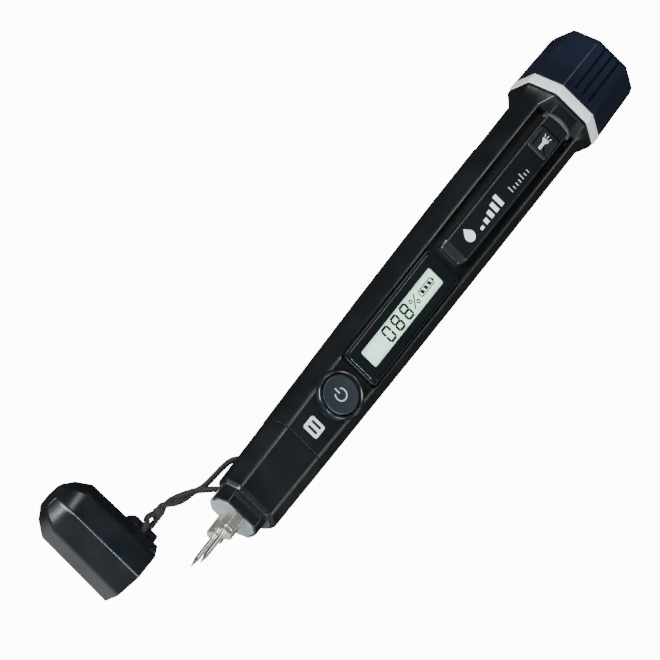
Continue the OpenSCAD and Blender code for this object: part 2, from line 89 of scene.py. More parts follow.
# %% [markdown]
# ## Helpers for finishes
# Colours are written as people see them on a screen, in hex. Blender mixes light in linear
# values, so one function turns them. One more function adds a shader node, sets its values and
# links its inputs, which keeps each finish short enough to read as a recipe.

# %% Colour and node helpers
def linear(hex_colour):
    """Screen colour such as '#1c1f24' as linear RGBA."""
    values = [int(hex_colour[i : i + 2], 16) / 255 for i in (1, 3, 5)]
    curve = (v / 12.92 if v <= 0.04045 else ((v + 0.055) / 1.055) ** 2.4 for v in values)
    return tuple(curve) + (1.0,)


def add(tree, kind, values=None, **links):
    """Add a node. values sets its properties and inputs; links feed inputs from sockets."""
    made = tree.nodes.new(kind)
    for key, value in (values or {}).items():
        if isinstance(key, int) or key in made.inputs:
            made.inputs[key].default_value = value
        else:
            setattr(made, key, value)
    for key, socket in links.items():
        tree.links.new(socket,
                       made.inputs[int(key[1:]) if key[0] == "_" else key.replace("_", " ")])
    return made


def new_finish(name):
    """A material with an empty node tree, an output and object coordinates."""
    material = bpy.data.materials.new(name)
    material.use_nodes = True
    tree = material.node_tree
    tree.nodes.clear()
    place = add(tree, "ShaderNodeTexCoord").outputs["Object"]
    return material, tree, place


def ramp(tree, factor, stops):
    """Colour ramp through (position, hex) stops."""
    made = add(tree, "ShaderNodeValToRGB", Fac=factor)
    band = made.color_ramp
    while len(band.elements) < len(stops):
        band.elements.new(0.5)
    for element, (position, colour) in zip(band.elements, stops):
        element.position = position
        element.color = linear(colour) if isinstance(colour, str) else (colour, colour, colour, 1)
    return made.outputs["Color"]


def finish_surface(tree, surface):
    output = add(tree, "ShaderNodeOutputMaterial")
    tree.links.new(surface.outputs[0], output.inputs["Surface"])


print("finish helpers ready; mid grey is", round(linear("#808080")[0], 3), "in linear light")

# %% [markdown]
# ## Moulded plastic
# The housing is ABS, moulded in a steel tool whose surface was spark-eroded to a fine satin
# grain. The eye sees a dark body with soft highlights, a very fine sparkle where light grazes
# it, and slow changes in gloss from handling. Three noise patterns give that: one for the grain
# (drawn at 0.25 mm, coarser than the real 0.05 mm, so that it shows), one for handling marks a
# few millimetres wide, and one that shifts the colour a little.

# %% Plastic finishes
def moulded_plastic(name, dark, light, rough, grain_mm=0.25, depth=0.012, ior=1.5, coat=0.0):
    material, tree, place = new_finish(name)
    grain = add(tree, "ShaderNodeTexNoise", {"Scale": 1 / (grain_mm * MM), "Detail": 3.0},
                Vector=place)
    hand = add(tree, "ShaderNodeTexNoise", {"Scale": 1 / (7 * MM), "Detail": 4.0}, Vector=place)
    tone = add(tree, "ShaderNodeTexNoise", {"Scale": 1 / (16 * MM), "Detail": 2.0}, Vector=place)
    colour = ramp(tree, tone.outputs["Fac"], [(0.35, dark), (0.65, light)])
    gloss = add(
        tree, "ShaderNodeMapRange",
        {"From Min": 0.3, "From Max": 0.7, "To Min": rough - 0.05, "To Max": rough + 0.07},
        Value=hand.outputs["Fac"],
    )
    bump = add(
        tree, "ShaderNodeBump", {"Strength": 0.35, "Distance": depth * MM},
        Height=grain.outputs["Fac"],
    )
    surface = add(
        tree, "ShaderNodeBsdfPrincipled",
        {"IOR": ior, "Coat Weight": coat, "Coat Roughness": 0.12},
        Base_Color=colour, Roughness=gloss.outputs["Result"], Normal=bump.outputs["Normal"],
    )
    finish_surface(tree, surface)
    return material


satin_abs = moulded_plastic("satin_black_abs", "#0e1113", "#131617", 0.3)
door_abs = moulded_plastic("door_black_abs", "#0e1016", "#12141b", 0.3)
head_abs = moulded_plastic("head_navy_abs", "#10141f", "#161c2a", 0.26)
cap_abs = moulded_plastic("cap_black_abs", "#0e1215", "#13171b", 0.28)
nose_nylon = moulded_plastic("grey_glass_filled_nylon", "#849498", "#9cabaf", 0.42, 0.3, 0.02)
key_rubber = moulded_plastic("key_silicone", "#14171a", "#1a1d21", 0.45, 0.3, 0.015, 1.43)
disc_abs = moulded_plastic("power_disc_abs", "#23282d", "#2b3137", 0.32, 0.3, 0.01)
rim_abs = moulded_plastic("power_rim_gloss_abs", "#16191d", "#1d2126", 0.2, 0.4, 0.006)
lens_acrylic = moulded_plastic("smoked_acrylic", "#101417", "#14181b", 0.1, 0.6, 0.002, 1.49, 0.6)
seal_rubber = moulded_plastic("seal_rubber", "#0d0d0e", "#131314", 0.55, 0.2, 0.02, 1.52)
white_plastic = moulded_plastic("white_plastic", "#d9dcdc", "#e8eaea", 0.4)
print("plastic finishes ready")

# %% [markdown]
# ## Metals
# The trim ring is zinc, die-cast and chromed to a satin, so it reads as bright silver with soft
# streaks. The needles and their hexagonal holders are nickel-plated steel, turned on a lathe,
# which leaves fine rings round them. A metal keeps the default IOR, because its colour comes
# from the base colour. The satin platings are given a partly metallic value, which stands for
# the light that their fine, unpolished texture scatters every way.

# %% Metal finishes
def turned_metal(name, dark, light, rough, axis=(1.0, 60.0, 1.0), streak_mm=0.5, metallic=1.0):
    material, tree, place = new_finish(name)
    stretched = add(
        tree, "ShaderNodeMapping", {"vector_type": "POINT", "Scale": axis}, Vector=place
    )
    streak = add(
        tree, "ShaderNodeTexNoise", {"Scale": 0.2 / (streak_mm * MM), "Detail": 3.0},
        Vector=stretched.outputs["Vector"],
    )
    colour = ramp(tree, streak.outputs["Fac"], [(0.3, dark), (0.7, light)])
    gloss = add(
        tree, "ShaderNodeMapRange", {"To Min": rough - 0.05, "To Max": rough + 0.08},
        Value=streak.outputs["Fac"],
    )
    bump = add(
        tree, "ShaderNodeBump", {"Strength": 0.2, "Distance": 0.01 * MM},
        Height=streak.outputs["Fac"],
    )
    surface = add(
        tree, "ShaderNodeBsdfPrincipled", {"Metallic": metallic},
        Base_Color=colour, Roughness=gloss.outputs["Result"], Normal=bump.outputs["Normal"],
    )
    finish_surface(tree, surface)
    return material


satin_chrome = turned_metal("satin_chrome", "#eef2f5", "#fcfdfe", 0.42, (1.0, 8.0, 1.0), 1.0, 0.3)
nickel = turned_metal("nickel_plate", "#b4b2a4", "#e6e4d8", 0.24, (1.0, 30.0, 1.0), 0.4, 0.85)
needle_steel = turned_metal("needle_steel", "#9c9c94", "#d2d2ca", 0.2, (1.0, 30.0, 1.0), 0.4, 0.9)
spring_steel = turned_metal("spring_steel", "#b8bbbd", "#d6d9da", 0.25)
mirror_metal = turned_metal("vacuum_aluminium", "#e4e6e8", "#f2f3f4", 0.14, (1.0, 1.0, 1.0), 2.0,
                            0.7)
sink_metal = turned_metal("machined_aluminium", "#b5b8bb", "#cfd2d4", 0.3)
gold_plate = turned_metal("gold_plate", "#c79a3b", "#e0b95a", 0.25)
print("metal finishes ready")

# %% [markdown]
# ## Display, prints and cord
# The liquid-crystal glass is pale green with a faint brushed diffuser behind it. It also glows a
# little:
# the glow stands for its backlight, and it paints extra brightness onto the panel so that it reads
# pale. Prints are matt ink. The lanyard is polyester yarn: its fine fibres scatter light at the
# edges, which sheen imitates.

# %% Display, ink, glass and yarn finishes
def display_finish():
    material, tree, place = new_finish("liquid_crystal_glass")
    haze = add(tree, "ShaderNodeTexNoise", {"Scale": 1 / (5 * MM), "Detail": 2.0}, Vector=place)
    colour = ramp(tree, haze.outputs["Fac"], [(0.3, "#c0ebcc"), (0.7, "#d0f7db")])
    # The emission is backlight glow and also painted brightness that keeps the panel pale.
    surface = add(
        tree, "ShaderNodeBsdfPrincipled",
        {"Roughness": 0.25, "Coat Weight": 0.6, "Coat Roughness": 0.05, "Emission Strength": 0.75},
        Base_Color=colour, Emission_Color=colour,
    )
    finish_surface(tree, surface)
    return material


def ink(name, dark, light, rough=0.5, glow=0.0):
    material, tree, place = new_finish(name)
    mottle = add(tree, "ShaderNodeTexNoise", {"Scale": 1 / (0.5 * MM), "Detail": 2.0}, Vector=place)
    colour = ramp(tree, mottle.outputs["Fac"], [(0.3, dark), (0.7, light)])
    surface = add(
        tree, "ShaderNodeBsdfPrincipled", {"Roughness": rough, "Emission Strength": glow},
        Base_Color=colour, Emission_Color=colour,
    )
    finish_surface(tree, surface)
    return material


def clear_glass():
    material, tree, place = new_finish("lamp_polycarbonate")
    flow = add(tree, "ShaderNodeTexNoise", {"Scale": 1 / (6 * MM)}, Vector=place)
    gloss = add(tree, "ShaderNodeMapRange", {"To Min": 0.02, "To Max": 0.06},
                Value=flow.outputs["Fac"])
    surface = add(
        tree, "ShaderNodeBsdfPrincipled",
        {"Base Color": linear("#eaf2f6"), "IOR": 1.58, "Alpha": 0.14},
        Roughness=gloss.outputs["Result"],
    )
    finish_surface(tree, surface)
    return material


def yarn():
    material, tree, place = new_finish("polyester_yarn")
    fibre = add(tree, "ShaderNodeTexNoise", {"Scale": 1 / (0.12 * MM), "Detail": 3.0}, Vector=place)
    colour = ramp(tree, fibre.outputs["Fac"], [(0.3, "#08080a"), (0.7, "#17181c")])
    bump = add(
        tree, "ShaderNodeBump", {"Strength": 0.5, "Distance": 0.03 * MM},
        Height=fibre.outputs["Fac"]
    )
    surface = add(
        tree, "ShaderNodeBsdfPrincipled",
        {"Roughness": 0.7, "Sheen Weight": 0.12, "Sheen Roughness": 0.4},
        Base_Color=colour, Normal=bump.outputs["Normal"],
    )
    finish_surface(tree, surface)
    return material


display_glass = display_finish()
segment_ink = ink("dark_segments", "#0f1813", "#17221b", 0.35)
white_ink = ink("white_print", "#e6e9ea", "#f6f7f7", 0.5)
grey_ink = ink("grey_print", "#a9b0b4", "#bcc3c7", 0.5)
label_face = ink("label_pale", "#cfd9d8", "#dde6e4", 0.3)
lamp_clear = clear_glass()
cord_yarn = yarn()
print("display, print and cord finishes ready")

# %% [markdown]
# ## Shape helpers
# Most of this tool is a set of eight-sided sections joined along its length, which a maker
# calls a loft. A section's corners are rounded first, so the finished edge catches a thin line
# of light. Pockets and bores are cut afterwards with closed cutters, as a milling tool would.

# %% Section helpers
CORNER_STEPS = 4  # pieces in each rounded corner


def round_corners(points, radius):
    """Replace each corner of a closed outline with a short arc. All have equal counts."""
    made = []
    count = len(points)
    for i, corner in enumerate(points):
        here = Vector(corner)
        before, after = Vector(points[i - 1]) - here, Vector(points[(i + 1) % count]) - here
        reach = min(radius, 0.42 * before.length, 0.42 * after.length)
        start, end = here + before.normalized() * reach, here + after.normalized() * reach
        for step in range(CORNER_STEPS + 1):
            t = step / CORNER_STEPS
            made.append(start * (1 - t) ** 2 + here * 2 * t * (1 - t) + end * t * t)
    return made


def shrink(points, amount):
    """Move a closed outline inwards by an amount."""
    area = sum(
        points[i - 1][0] * points[i][1] - points[i][0] * points[i - 1][1]
        for i in range(len(points))
    )
    sign = 1 if area > 0 else -1
    made = []
    for i, point in enumerate(points):
        along = Vector(points[(i + 1) % len(points)]) - Vector(points[i - 1])
        made.append(Vector(point) + sign * amount * Vector((-along.y, along.x)).normalized())
    return made


print("a corner becomes", CORNER_STEPS + 1, "points")

# %% Mesh helpers
def mesh_object(name, bm):
    """Close, orient and scale a mesh made in millimetres, and put it in the scene."""
    bmesh.ops.remove_doubles(bm, verts=bm.verts, dist=1e-4)
    bmesh.ops.recalc_face_normals(bm, faces=bm.faces)
    bmesh.ops.scale(bm, vec=(MM, MM, MM), verts=bm.verts)
    mesh = bpy.data.meshes.new(name)
    bm.to_mesh(mesh)
    bm.free()
    made = bpy.data.objects.new(name, mesh)
    bpy.context.collection.objects.link(made)
    return made


def skin_rings(name, rings):
    """Closed skin through rings of 3-D points that have equal counts."""
    bm = bmesh.new()
    rows = [[bm.verts.new(p) for p in ring] for ring in rings]
    count = len(rings[0])
    for low, high in zip(rows, rows[1:]):
        for j in range(count):
            k = (j + 1) % count
            bm.faces.new((low[j], low[k], high[k], high[j]))
    bm.faces.new(rows[0])
    bm.faces.new(rows[-1][::-1])
    return mesh_object(name, bm)


def loft_y(name, sections, corner=0.5, soften=0.2):
    """Loft along the housing. sections are (y, outline); both ends get a soft edge."""
    rounded = [(y, round_corners(outline, corner)) for y, outline in sections]
    (y0, first), (y1, last) = rounded[0], rounded[-1]
    rings = [(y0, shrink(first, soften)), (y0 + 0.3 * soften, shrink(first, 0.3 * soften))]
    rings += [(y0 + soften, first)] + rounded[1:-1] + [(y1 - soften, last)]
    rings += [(y1 - 0.3 * soften, shrink(last, 0.3 * soften)), (y1, shrink(last, soften))]
    return skin_rings(name, [[(p[0], y, p[1]) for p in ring] for y, ring in rings])


def slab(name, x, y0, y1, z0, z1, corner=0.0, soften=0.0, at_x=0.0):
    """Upright block seen from the front, with rounded corners and a softened top edge."""
    outline = [(x, y0), (x, y1), (-x, y1), (-x, y0)]
    outline = round_corners(outline, corner) if corner else [Vector(p) for p in outline]
    rings = [(z0, outline)]
    if soften:
        rings += [(z1 - soften, outline), (z1 - 0.3 * soften, shrink(outline, 0.3 * soften))]
        rings += [(z1, shrink(outline, soften))]
    else:
        rings += [(z1, outline)]
    return skin_rings(name, [[(p[0] + at_x, p[1], z) for p in ring] for z, ring in rings])


def turned(name, profile, centre=(0, 0, 0), axis="Z", segments=96):
    """Lathe a closed profile of (radius, height) points."""
    bm = bmesh.new()
    rings = []
    for radius, height in profile:
        ring = []
        for k in range(segments):
            a = 2 * math.pi * k / segments
            p = (radius * math.cos(a), radius * math.sin(a), height)
            if axis == "Y":
                p = (p[0], p[2], p[1])
            ring.append(bm.verts.new(Vector(p) + Vector(centre)))
        rings.append(ring)
    for i in range(len(rings)):
        low, high = rings[i], rings[(i + 1) % len(rings)]
        if profile[i][0] == 0 and profile[(i + 1) % len(rings)][0] == 0:
            continue
        for k in range(segments):
            m = (k + 1) % segments
            bm.faces.new((low[k], low[m], high[m], high[k]))
    bmesh.ops.remove_doubles(bm, verts=bm.verts, dist=1e-5)
    bmesh.ops.dissolve_degenerate(bm, edges=bm.edges, dist=1e-5)
    return mesh_object(name, bm)


def rod(name, y0, y1, radius, x=0.0, z=0.0, segments=64):
    return turned(name, [(0, y0), (radius, y0), (radius, y1), (0, y1)], (x, 0, z), "Y", segments)


def post(name, x, y, z0, z1, radius, segments=64):
    return turned(name, [(0, z0), (radius, z0), (radius, z1), (0, z1)], (x, y, 0), "Z", segments)


print("mesh helpers ready: loft, slab, turned, rod and post")

# %% [markdown]
# A maker cuts, joins and finishes. One function runs exact booleans, and one smooths the
# shading, gives the finish and tells the frame which body the piece moves with.

# %% Cut and dress helpers
def combine(target, others, operation="DIFFERENCE"):
    """Cut or join closed meshes, then drop the tools."""
    for other in others:
        step = target.modifiers.new(other.name, "BOOLEAN")
        step.operation = operation
        step.solver = "EXACT"
        step.object = other
    graph = bpy.context.evaluated_depsgraph_get()
    result = bpy.data.meshes.new_from_object(target.evaluated_get(graph))
    target.modifiers.clear()
    old = target.data
    target.data = result
    result.name = target.name
    bpy.data.meshes.remove(old)
    for other in others:
        bpy.data.objects.remove(other, do_unlink=True)
    return target


def dress(piece, finish, body, replaces=(), sharp=32):
    """Smooth the shading, give the finish, and tell the frame what the piece is."""
    mesh = piece.data
    mesh.materials.clear()
    mesh.materials.append(finish)
    mesh.polygons.foreach_set("material_index", [0] * len(mesh.polygons))
    mesh.shade_smooth()
    mesh.set_sharp_from_angle(angle=math.radians(sharp))
    even = piece.modifiers.new("even_normals", "WEIGHTED_NORMAL")
    even.keep_sharp = True
    graph = bpy.context.evaluated_depsgraph_get()
    piece.data = bpy.data.meshes.new_from_object(piece.evaluated_get(graph))
    piece.modifiers.clear()
    bpy.data.meshes.remove(mesh)
    piece.data.name = piece.name
    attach(piece, body)
    if replaces:
        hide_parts(*replaces)
    print(piece.name, "faces:", len(piece.data.polygons))
    return piece


def finish_cad(material, *nodes):
    """Give a CAD piece whose shape is right its finish."""
    for name in nodes:
        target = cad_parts[name]
        if not target.material_slots:
            target.data.materials.append(material)
        for held in target.material_slots:
            held.material = material
    print(material.name, "given to", ", ".join(nodes))


print("cut and dress helpers ready")

# %% [markdown]
# ## The lanyard
# It is a thin braided cord. Two strands leave the housing, twist round each other, and meet in a
# knot; a loop from the knot goes round the cap's bar. Cords come first, because their route is
# fixed by the CAD. Each is swept along its route with Geometry Nodes: the route is copied once
# for each yarn, each copy is pushed off the middle and turned on as it goes, and a small circle
# is swept along it. That gives the ridges of a twisted cord for almost no work.

# %% Cord routes
TWIST_MID = [(-10.2, 0.8, -5.4), (-11.6, -2.4, -5.6), (-13.0, -5.4, -5.3), (-14.1, -8.0, -4.4),
             (-14.7, -10.0, -3.3)]
TWIST_SIDE, TWIST_UP, TWIST_R = Vector((0.933, -0.36, 0)), Vector((0.082, 0.214, 0.973)), 0.7


def twisted(half):
    """Points of one strand as the two strands twist round each other."""
    made = []
    for i, middle in enumerate(TWIST_MID):
        a = math.radians(90 + 60 * i)
        off_middle = TWIST_SIDE * math.cos(a) + TWIST_UP * math.sin(a)
        made.append(Vector(middle) + half * TWIST_R * off_middle)
    return made


STRAND_A = [(-5.8, 4.9, -2.3), (-7.6, 3.5, -3.2),
            (-8.8, 2.3, -4.0)] + twisted(1) + [(-14.16, -11.33, -3.24)]
STRAND_B = [
    (-5.2, 17.0, -4.8), (-7.2, 15.0, -5.6), (-8.0, 13.4, -6.0), (-8.4, 11.0, -6.3),
    (-8.6, 8.4, -6.5),
    (-8.8, 5.8, -6.6), (-9.3, 3.2, -6.5),
] + twisted(-1) + [(-15.48, -10.9, -2.1)]
INSIDE_KNOT = [(-14.4, -12.6, -2.9), (-15.4, -12.4, -2.0)]
LOOP = [
    (-15.87, -13.49, -2.26), (-16.5, -14.9, -1.5), (-16.9, -16.8, 0.3), (-16.7, -18.4, 2.2),
    (-16.4, -20.1, 2.3), (-16.1, -20.85, 0.8), (-15.7, -20.85, -0.8), (-15.2, -20.1, -2.3),
    (-14.7, -18.4, -2.3), (-14.3, -16.6, -2.3), (-14.2, -15.0, -2.4), (-14.37, -13.63, -2.26),
]
KNOT = Vector((-15.0, -12.4, -2.4))
CORD_D = 1.15


def smooth_route(points, steps=6):
    """Smooth curve through points, in metres."""
    p = [Vector(q) for q in points]
    made = []
    for i in range(len(p) - 1):
        a, b, c, d = p[max(i - 1, 0)], p[i], p[i + 1], p[min(i + 2, len(p) - 1)]
        for j in range(steps):
            t = j / steps
            made.append(
                0.5 * (2 * b + (c - a) * t + (2 * a - 5 * b + 4 * c - d) * t * t
                       + (3 * b - a - 3 * c + d) * t**3) * MM
            )
    return made + [p[-1] * MM]


def route_length(points):
    return sum((b - a).length for a, b in zip(points, points[1:]))


lanyard_route = smooth_route(STRAND_A + INSIDE_KNOT + STRAND_B[::-1])
loop_route = smooth_route(LOOP)
print("lanyard:", round(route_length(lanyard_route) / MM, 1), "mm; loop:",
      round(route_length(loop_route) / MM, 1), "mm")

# %% Geometry Nodes: twisted cord
YARN_REACH, YARN_THICK = 0.6, 0.8  # shares of the cord's radius


def twisted_cord_tree():
    tree = bpy.data.node_groups.new("twisted_cord", "GeometryNodeTree")
    face = tree.interface
    face.new_socket("Geometry", in_out="INPUT", socket_type="NodeSocketGeometry")
    for name, kind, value in (
        ("Cord radius", "NodeSocketFloat", CORD_D / 2 * MM),
        ("Yarns", "NodeSocketInt", 3),
        ("Twist length", "NodeSocketFloat", 2.6 * MM),
        ("Finish", "NodeSocketMaterial", None),
    ):
        socket = face.new_socket(name, in_out="INPUT", socket_type=kind)
        if value is not None:
            socket.default_value = value
    face.new_socket("Geometry", in_out="OUTPUT", socket_type="NodeSocketGeometry")
    given = tree.nodes.new("NodeGroupInput").outputs
    fine = add(tree, "GeometryNodeResampleCurve", {"mode": "LENGTH", "Length": 0.2 * MM},
               Curve=given["Geometry"])
    copies = add(tree, "GeometryNodeDuplicateElements", {"domain": "SPLINE"},
                 Geometry=fine.outputs[0], Amount=given["Yarns"])
    along = add(tree, "GeometryNodeSplineParameter")
    turns = add(tree, "ShaderNodeMath", {"operation": "DIVIDE"}, _0=along.outputs["Length"],
                _1=given["Twist length"])
    share = add(tree, "ShaderNodeMath", {"operation": "DIVIDE"},
                _0=copies.outputs["Duplicate Index"], _1=given["Yarns"])
    both = add(tree, "ShaderNodeMath", {"operation": "ADD"}, _0=turns.outputs[0],
               _1=share.outputs[0])
    angle = add(tree, "ShaderNodeMath", {"operation": "MULTIPLY", 1: 2 * math.pi},
                _0=both.outputs[0])
    cosine = add(tree, "ShaderNodeMath", {"operation": "COSINE"}, _0=angle.outputs[0])
    sine = add(tree, "ShaderNodeMath", {"operation": "SINE"}, _0=angle.outputs[0])
    normal = add(tree, "GeometryNodeInputNormal")
    tangent = add(tree, "GeometryNodeInputTangent")
    across = add(tree, "ShaderNodeVectorMath", {"operation": "CROSS_PRODUCT"},
                 _0=tangent.outputs[0], _1=normal.outputs[0])
    part_n = add(tree, "ShaderNodeVectorMath", {"operation": "SCALE"}, _0=normal.outputs[0],
                 Scale=cosine.outputs[0])
    part_b = add(tree, "ShaderNodeVectorMath", {"operation": "SCALE"}, _0=across.outputs[0],
                 Scale=sine.outputs[0])
    offset = add(tree, "ShaderNodeVectorMath", {"operation": "ADD"}, _0=part_n.outputs[0],
                 _1=part_b.outputs[0])
    reach = add(tree, "ShaderNodeMath", {"operation": "MULTIPLY", 1: YARN_REACH},
                _0=given["Cord radius"])
    pushed = add(tree, "ShaderNodeVectorMath", {"operation": "SCALE"}, _0=offset.outputs[0],
                 Scale=reach.outputs[0])
    moved = add(tree, "GeometryNodeSetPosition", Geometry=copies.outputs["Geometry"],
                Offset=pushed.outputs[0])
    thick = add(tree, "ShaderNodeMath", {"operation": "MULTIPLY", 1: YARN_THICK},
                _0=given["Cord radius"])
    circle = add(tree, "GeometryNodeCurvePrimitiveCircle", {"Resolution": 10},
                 Radius=thick.outputs[0])
    tube = add(tree, "GeometryNodeCurveToMesh", {"Fill Caps": True}, Curve=moved.outputs[0],
               Profile_Curve=circle.outputs["Curve"])
    real = add(tree, "GeometryNodeRealizeInstances", Geometry=tube.outputs[0])
    dressed = add(tree, "GeometryNodeSetMaterial", Geometry=real.outputs[0],
                  Material=given["Finish"])
    add(tree, "NodeGroupOutput", Geometry=dressed.outputs[0])
    return tree


cord_tree = twisted_cord_tree()
print("cord tree nodes:", len(cord_tree.nodes))

# %% Run a tree along a route
def run_tree(name, source, tree, **inputs):
    """Run a node tree on an object by named inputs, and keep the result as a plain mesh."""
    step = source.modifiers.new("maker", "NODES")
    step.node_group = tree
    named = {s.name: s.identifier for s in tree.interface.items_tree if s.in_out == "INPUT"}
    for key, value in inputs.items():
        step[named[key.replace("_", " ")]] = value
    source.update_tag()
    graph = bpy.context.evaluated_depsgraph_get()
    mesh = bpy.data.meshes.new_from_object(source.evaluated_get(graph))
    mesh.name = name
    source.modifiers.clear()
    bpy.data.objects.remove(source, do_unlink=True)
    made = bpy.data.objects.new(name, mesh)
    bpy.context.collection.objects.link(made)
    return made


def route_curve(name, points):
    curve = bpy.data.curves.new(name, "CURVE")
    curve.dimensions = "3D"
    line = curve.splines.new("POLY")
    line.points.add(len(points) - 1)
    for spot, point in zip(line.points, points):
        spot.co = (*point, 1)
    made = bpy.data.objects.new(name, curve)
    bpy.context.collection.objects.link(made)
    return made


lanyard = run_tree("lanyard_braid", route_curve("route", lanyard_route), cord_tree,
                   Finish=cord_yarn)
cap_loop = run_tree("cap_loop_braid", route_curve("loop_route", loop_route), cord_tree,
                    Finish=cord_yarn)
for piece in (lanyard, cap_loop):
    piece.data.shade_smooth()
print("lanyard faces:", len(lanyard.data.polygons), "loop faces:", len(cap_loop.data.polygons))

# %% [markdown]
# The knot is an overhand knot pulled tight. Its real shape is a short coil of the same cord, so
# it is swept with the same tree along a small winding route.

# %% Knot
knot_route = []
KNOT_TURNS, KNOT_POINTS, KNOT_R, KNOT_HALF = 2.2, 60, 0.75, 0.9
for i in range(KNOT_POINTS):
    t = i / (KNOT_POINTS - 1)
    a = 2 * math.pi * KNOT_TURNS * t
    around = Vector((KNOT_R * math.cos(a), KNOT_HALF - 2 * KNOT_HALF * t, KNOT_R * math.sin(a)))
    knot_route.append((KNOT + around) * MM)
knot = run_tree("lanyard_knot_coil", route_curve("knot_route", knot_route), cord_tree,
                Finish=cord_yarn)
knot.data.shade_smooth()
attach(knot, "cap_carrier")
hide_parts("lanyard_knot")
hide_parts("lanyard_loop")
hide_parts("lanyard_strand_a", "lanyard_strand_b")
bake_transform(lanyard)
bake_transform(cap_loop)
print("knot faces:", len(knot.data.polygons))

# %% [markdown]
# ## The front of the housing
# One long moulding carries the buttons and the display. Its section has a flat front, two narrow
# bevels and two steep sides, widens a little towards the head, and flares into an octagonal
# collar. It is lofted through the real stations, then hollowed and pocketed with cutters.

# %% Sections of the housing
Y_SEAM, Y_COLLAR, Y_COLLAR_END, Y_DOOR = 24.5, 137.2, 141.0, 120.4
FRONT, DROP = 7.9, 0.5
HEAD_FLAT = 0.468  # a main flat's half width, as a share of the head's
COLLAR_HALF, LAMP_Y, LAMP_R, LAMP_FOOT_R = 11.3, 139.3, 8.7, 6.5
HEAD_SCREW_Y, NOSE_SCREW_Y, SCREW_HEAD_R, SCREW_R = 134.4, 19.6, 2.0, 1.1


def section(flat, edge, half, top, foot, back_half, back, inset=0.0):
    right_side = [
        (flat - inset * 0.3, FRONT - inset),
        (edge - inset * 0.55, FRONT - DROP - inset * 0.95),
        (half - inset, top - inset * 0.35),
        (half - inset, foot + inset * 0.15),
        (back_half - inset * 0.6, inset - back),
    ]
    return right_side + [(-x, z) for x, z in right_side[::-1]]


def octagon(half, flat):
    return [(flat, half), (half, flat), (half, -flat), (flat, -half),
            (-flat, -half), (-half, -flat), (-half, flat), (-flat, half)]


LOW = (4.9, 5.7, 8.85, 4.5, 1.2, 5.2, 6.9)
SEAM = (5.1, 6.0, 9.1, 4.5, 1.0, 6.0, 8.2)
MIDDLE = (6.0, 6.8, 9.55, 4.3, -0.8, 6.2, 8.3)
TOP = (6.3, 7.1, 9.75, 4.0, -1.5, 6.4, 8.3)


def collar_outline(half):
    flat = half * HEAD_FLAT
    middle = (half + flat) / 2
    side = [(flat, half), (middle, middle), (half, flat), (half, -flat), (flat, -half)]
    return side + [(-x, z) for x, z in side[::-1]]


def main_sections(y0, y1, inset=0.0):
    """Stations of the main housing from y0 up to y1, with the collar if y1 reaches it."""
    known = [(Y_SEAM, SEAM), (70.0, MIDDLE), (100.0, TOP), (Y_COLLAR, TOP)]

    def between(y):
        for (ya, a), (yb, b) in zip(known, known[1:]):
            if ya <= y <= yb:
                t = (y - ya) / (yb - ya)
                return [p + (q - p) * t for p, q in zip(a, b)]
        return list(TOP)

    stations = [y0] + [y for y, _ in known if y0 < y < min(y1, Y_COLLAR)] + [min(y1, Y_COLLAR)]
    made = [(y, section(*between(y), inset=inset)) for y in stations]
    if y1 > Y_COLLAR:
        made += [(Y_COLLAR_END - 0.9, collar_outline(COLLAR_HALF)),
                 (Y_COLLAR_END, collar_outline(COLLAR_HALF))]
    return made


def cut_box(x, y0, y1, z0, z1, at_x=0.0):
    return slab("cut_box", x, y0, y1, z0, z1, at_x=at_x)


def full_length(z0, z1):
    """Cutter over the whole housing, between two heights."""
    return cut_box(15, 0, 200, z0, z1)


def lamp_room():
    """Cutters for the lamp's foot and its bore."""
    return [rod("lamp_foot", Y_COLLAR - 0.4, Y_COLLAR_END + 1, LAMP_FOOT_R),
            rod("lamp_bore", LAMP_Y, Y_COLLAR_END + 1, LAMP_R)]


HOLD_Y, POWER_Y, LIGHT_Y = 29.6, 40.8, 128.9
LENS_Y0, LENS_Y1, WINDOW_Y0, WINDOW_Y1 = 49.6, 86.3, 52.8, 82.9
TONGUE_Y0, TONGUE_Y1, TONGUE_HIGH = 89.6, 139.8, 11.0
print("housing stations:", len(main_sections(Y_SEAM, Y_COLLAR_END)))

# %% Front shell
front = loft_y("front_shell_moulding", main_sections(Y_SEAM + 0.1, Y_COLLAR_END), 0.55, 0.15)
combine(front, [
    full_length(-25, 0.5),
    slab("channel", 6.2, 48.4, 137.0, 6.7, 15, 1.5),
    slab("side_slot", 0.9, 123.0, 136.9, 6.1, 15, 0.6, at_x=5.1),
    slab("side_slot", 0.9, 123.0, 136.9, 6.1, 15, 0.6, at_x=-5.1),
    post("rim_seat", 0, POWER_Y, 7.0, 15, 6.55),
    post("disc_well", 0, POWER_Y, 5.0, 15, 5.3),
    slab("label_seat", 2.45, HOLD_Y - 2.15, HOLD_Y + 2.15, FRONT - 0.15, 15, 0.8),
    slab("lens_seat", 4.4, WINDOW_Y0 - 2.3, WINDOW_Y1 + 2.3, 5.0, 15),
    slab("key_well", 3.65, LIGHT_Y - 4.2, LIGHT_Y + 4.2, 5.0, 15),
    *lamp_room(),
])
hollow = loft_y("hollow", main_sections(Y_SEAM - 1, Y_COLLAR - 0.4, 1.4), 0.3, 0.05)
combine(hollow, [full_length(5.6, 20)])
combine(front, [hollow])
dress(front, satin_abs, "housing", ["front_shell"])

# %% [markdown]
# Two places have a row of straight grip grooves: the flashlight's head and the battery door. A
# small Geometry Nodes tree makes the cutters for both: a line of bars, copied round the axis.

